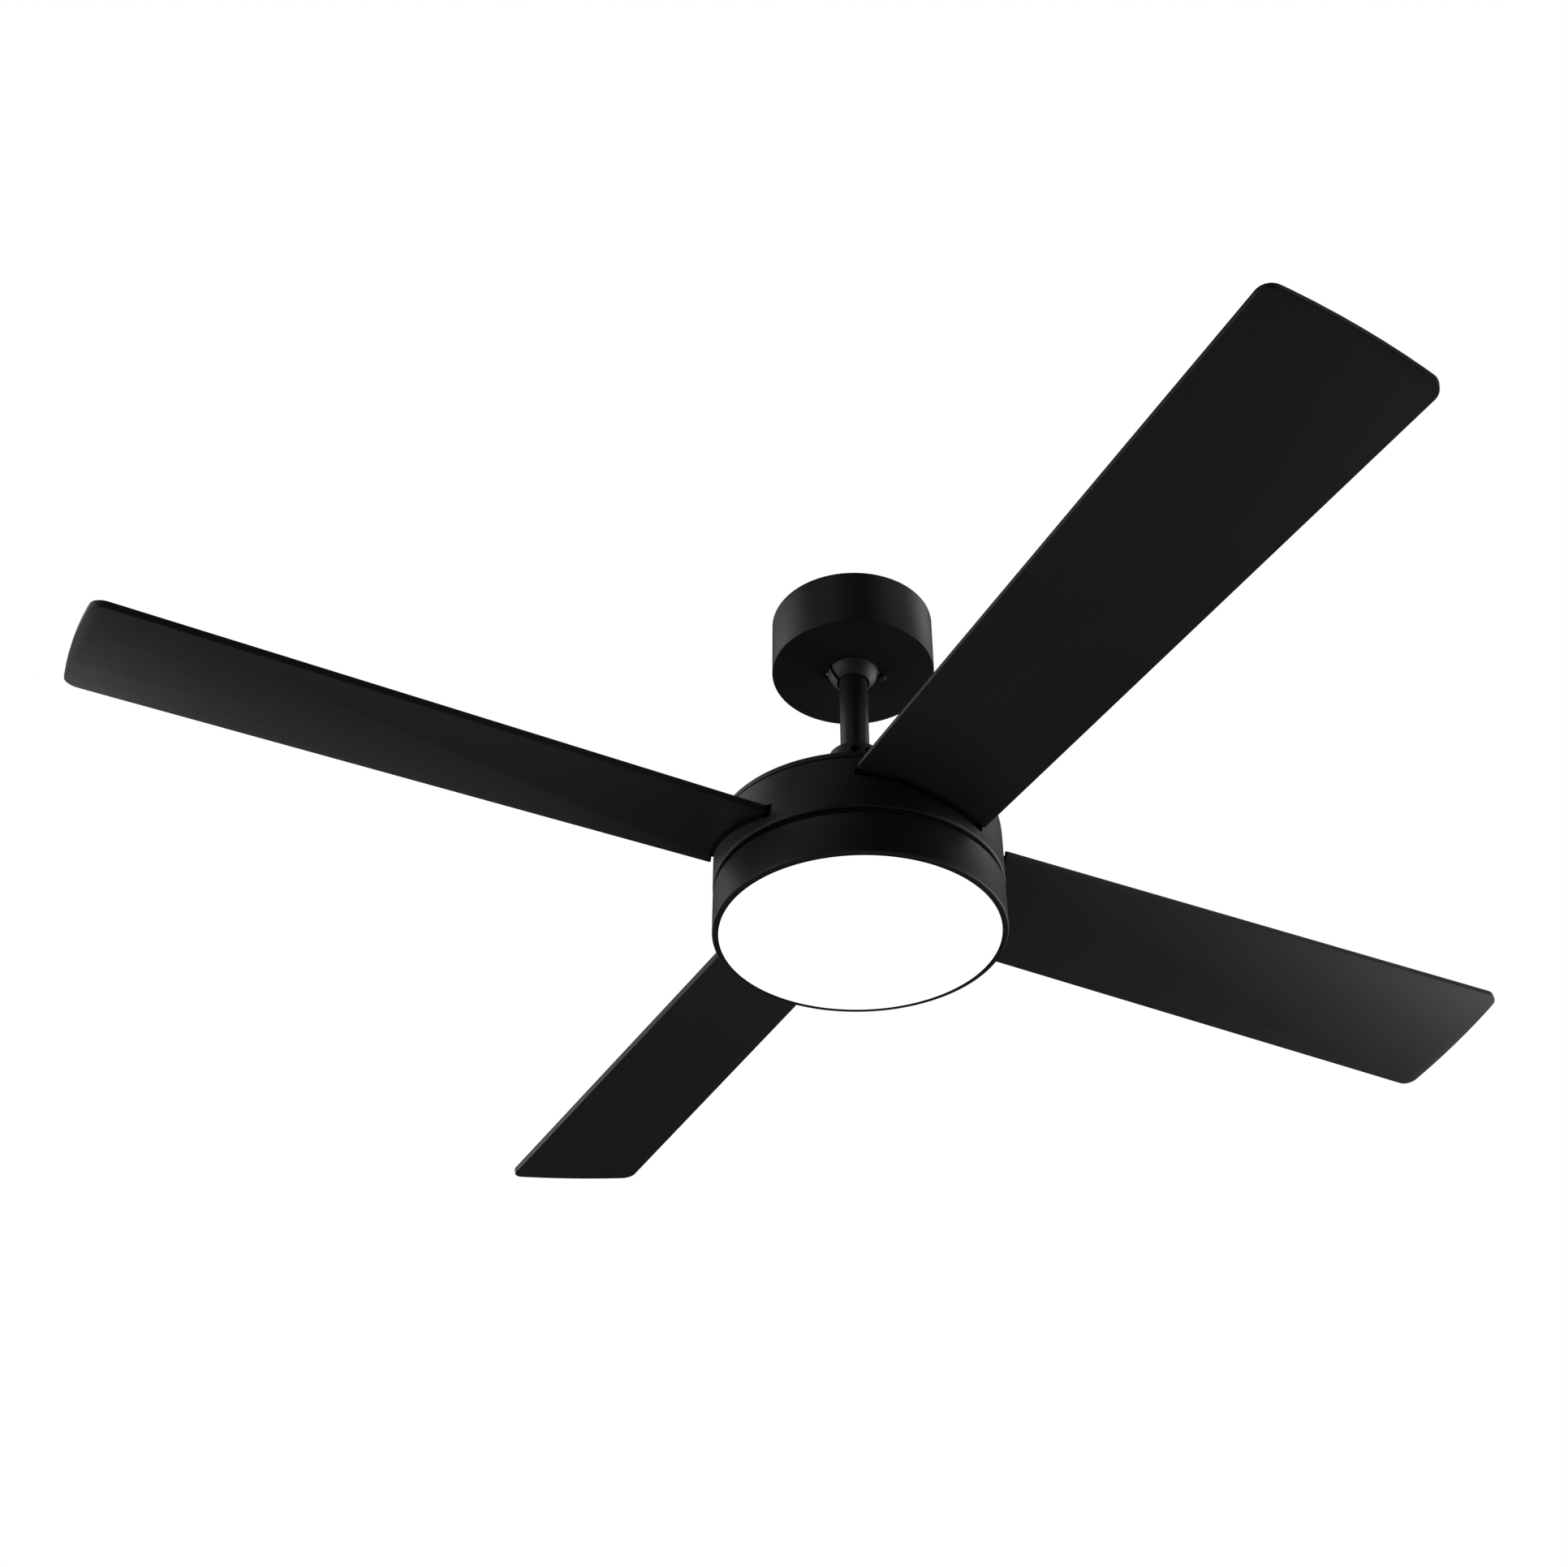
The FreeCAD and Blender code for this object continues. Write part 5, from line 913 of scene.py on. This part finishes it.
def lamp():
    """The drum with rounded rims and its inward lip, and the opal disc inside the lip."""
    radius, top, bottom = LAMP_HIGH.x, LAMP_HIGH.z, LAMP_LOW.z
    inner, ceiling, lip_top = radius - LAMP_WALL, top - LAMP_WALL, bottom + LAMP_WALL
    mesh = lathe("lamp_housing", [
        (SHAFT_RADIUS, top, 0), (radius, top, LAMP_EDGE), (radius, bottom, LAMP_EDGE),
        (LAMP_LIP, bottom, THIN_EDGE), (LAMP_LIP, lip_top, THIN_EDGE), (inner, lip_top, 0),
        (inner, ceiling, LAMP_INNER_EDGE), (SHAFT_RADIUS, ceiling, 0),
    ])
    finish_piece(mesh, "lamp_drum", "black_coating", "hanging", ["lamp_housing"])
    low, back = DIFFUSER_LOW.z, DIFFUSER_LOW.z + DIFFUSER_WALL
    rest = lip_top + DIFFUSER_SEAT_GAP
    flange, flange_top = DIFFUSER_HIGH.x, rest + DIFFUSER_FLANGE
    well = DIFFUSER_FACE - DIFFUSER_SIDE_WALL
    disc = lathe("diffuser", [
        (0, low, 0), (DIFFUSER_FACE, low, DIFFUSER_EDGE), (DIFFUSER_FACE, rest, 0),
        (flange, rest, THIN_EDGE), (flange, flange_top, THIN_EDGE), (well, flange_top, THIN_EDGE),
        (well, back, DIFFUSER_EDGE), (0, back, 0),
    ])
    finish_piece(disc, "opal_disc", "opal_diffuser", "hanging", ["diffuser"])


canopy()
thumb_screw()
ball()
rod()
coupling()
set_screws()
housing_cover()
motor_housing()
blades()
arms()
rotor_screws()
lamp()


# ---------------------------------------------------------------- camera, light and floor

def aim(thing, place, target):
    thing.location = place
    thing.rotation_mode = "QUATERNION"
    thing.rotation_quaternion = (Vector(target) - Vector(place)).to_track_quat("-Z", "Y")


def from_camera(right, ahead, height):
    """A point given to the camera's right, away from the camera, and by height."""
    bearing = math.radians(CAMERA_SIDE + 90)
    side = Vector((math.cos(bearing), math.sin(bearing), 0))
    away = Vector((-math.sin(bearing), math.cos(bearing), 0))
    return side * right + away * ahead + Vector((0, 0, height))


def camera():
    data = bpy.data.cameras.new("camera")
    data.sensor_width = CAMERA_SENSOR
    data.lens = CAMERA_LENS
    data.clip_start = CAMERA_NEAR
    data.clip_end = CAMERA_FAR
    viewer = bpy.data.objects.new("camera", data)
    bpy.context.scene.collection.objects.link(viewer)
    place = from_camera(0, -CAMERA_OUT, -CAMERA_DROP)
    yaw, pitch = math.radians(CAMERA_YAW), math.radians(CAMERA_PITCH)
    ahead = from_camera(math.sin(yaw) * math.cos(pitch), math.cos(yaw) * math.cos(pitch), math.sin(pitch))
    aim(viewer, place, place + ahead)
    bpy.context.scene.camera = viewer


def soft_boxes():
    """Square soft boxes round the fan, all turned to its middle."""
    middle = Vector((0, 0, -SOFT_BOX_AIM_DROP))
    for name, (bearing, lift, watts) in SOFT_BOXES.items():
        data = bpy.data.lights.new(f"soft_box_{name}", "AREA")
        data.shape = "SQUARE"
        data.size = SOFT_BOX_SIZE
        data.energy = watts
        soft_box = bpy.data.objects.new(data.name, data)
        bpy.context.scene.collection.objects.link(soft_box)
        around, above = math.radians(bearing), math.radians(lift)
        flat = SOFT_BOX_REACH * math.cos(above)
        height = SOFT_BOX_REACH * math.sin(above)
        offset = from_camera(flat * math.cos(around), flat * math.sin(around), height)
        aim(soft_box, middle + offset, middle)
        soft_box.visible_camera = False


def shown_to_camera(tree, real, shown, output):
    """Let the camera alone see the second shader, and every other ray the first."""
    mix = tree.nodes.new("ShaderNodeMixShader")
    path = tree.nodes.new("ShaderNodeLightPath")
    tree.links.new(path.outputs["Is Camera Ray"], mix.inputs["Fac"])
    tree.links.new(real, mix.inputs[1])
    tree.links.new(shown, mix.inputs[2])
    tree.links.new(mix.outputs["Shader"], tree.nodes[output].inputs["Surface"])


def surroundings():
    """A white surround for the camera, and next to no light from it for the fan."""
    world = bpy.data.worlds.new("studio")
    bpy.context.scene.world = world
    world.use_nodes = True
    tree = world.node_tree
    lit = tree.nodes["Background"]
    lit.inputs["Color"].default_value = (1, 1, 1, 1)
    lit.inputs["Strength"].default_value = AMBIENT
    seen = tree.nodes.new("ShaderNodeBackground")
    seen.inputs["Color"].default_value = (1, 1, 1, 1)
    seen.inputs["Strength"].default_value = 1.0
    shown_to_camera(tree, lit.outputs["Background"], seen.outputs["Background"], "World Output")


def floor():
    """A plain pale floor, which reads pale to the camera however dim the soft boxes are."""
    outline = circle(FLOOR_RADIUS, FLOOR_STEPS)
    mesh = slab("floor", outline, -FLOOR_DROP - FLOOR_THICKNESS, -FLOOR_DROP)
    plane = bpy.data.objects.new("floor", mesh)
    bpy.context.scene.collection.objects.link(plane)
    material, tree, shader = shader_of("floor")
    point = object_point(tree)
    colour = tint(tree, noise(tree, point, 3.0), (0.80, 0.80, 0.79), (0.84, 0.84, 0.83))
    tree.links.new(colour, shader.inputs["Base Color"])
    shader.inputs["Roughness"].default_value = 0.8
    shader.inputs["Emission Color"].default_value = (1, 1, 1, 1)
    shader.inputs["Emission Strength"].default_value = FLOOR_GLOW
    pale = tree.nodes.new("ShaderNodeEmission")
    tree.links.new(colour, pale.inputs["Color"])
    shown_to_camera(tree, shader.outputs["BSDF"], pale.outputs["Emission"], "Material Output")
    mesh.materials.append(material)


bpy.context.scene.view_settings.view_transform = "Standard"
bpy.context.scene.view_settings.look = "None"
camera()
soft_boxes()
surroundings()
floor()
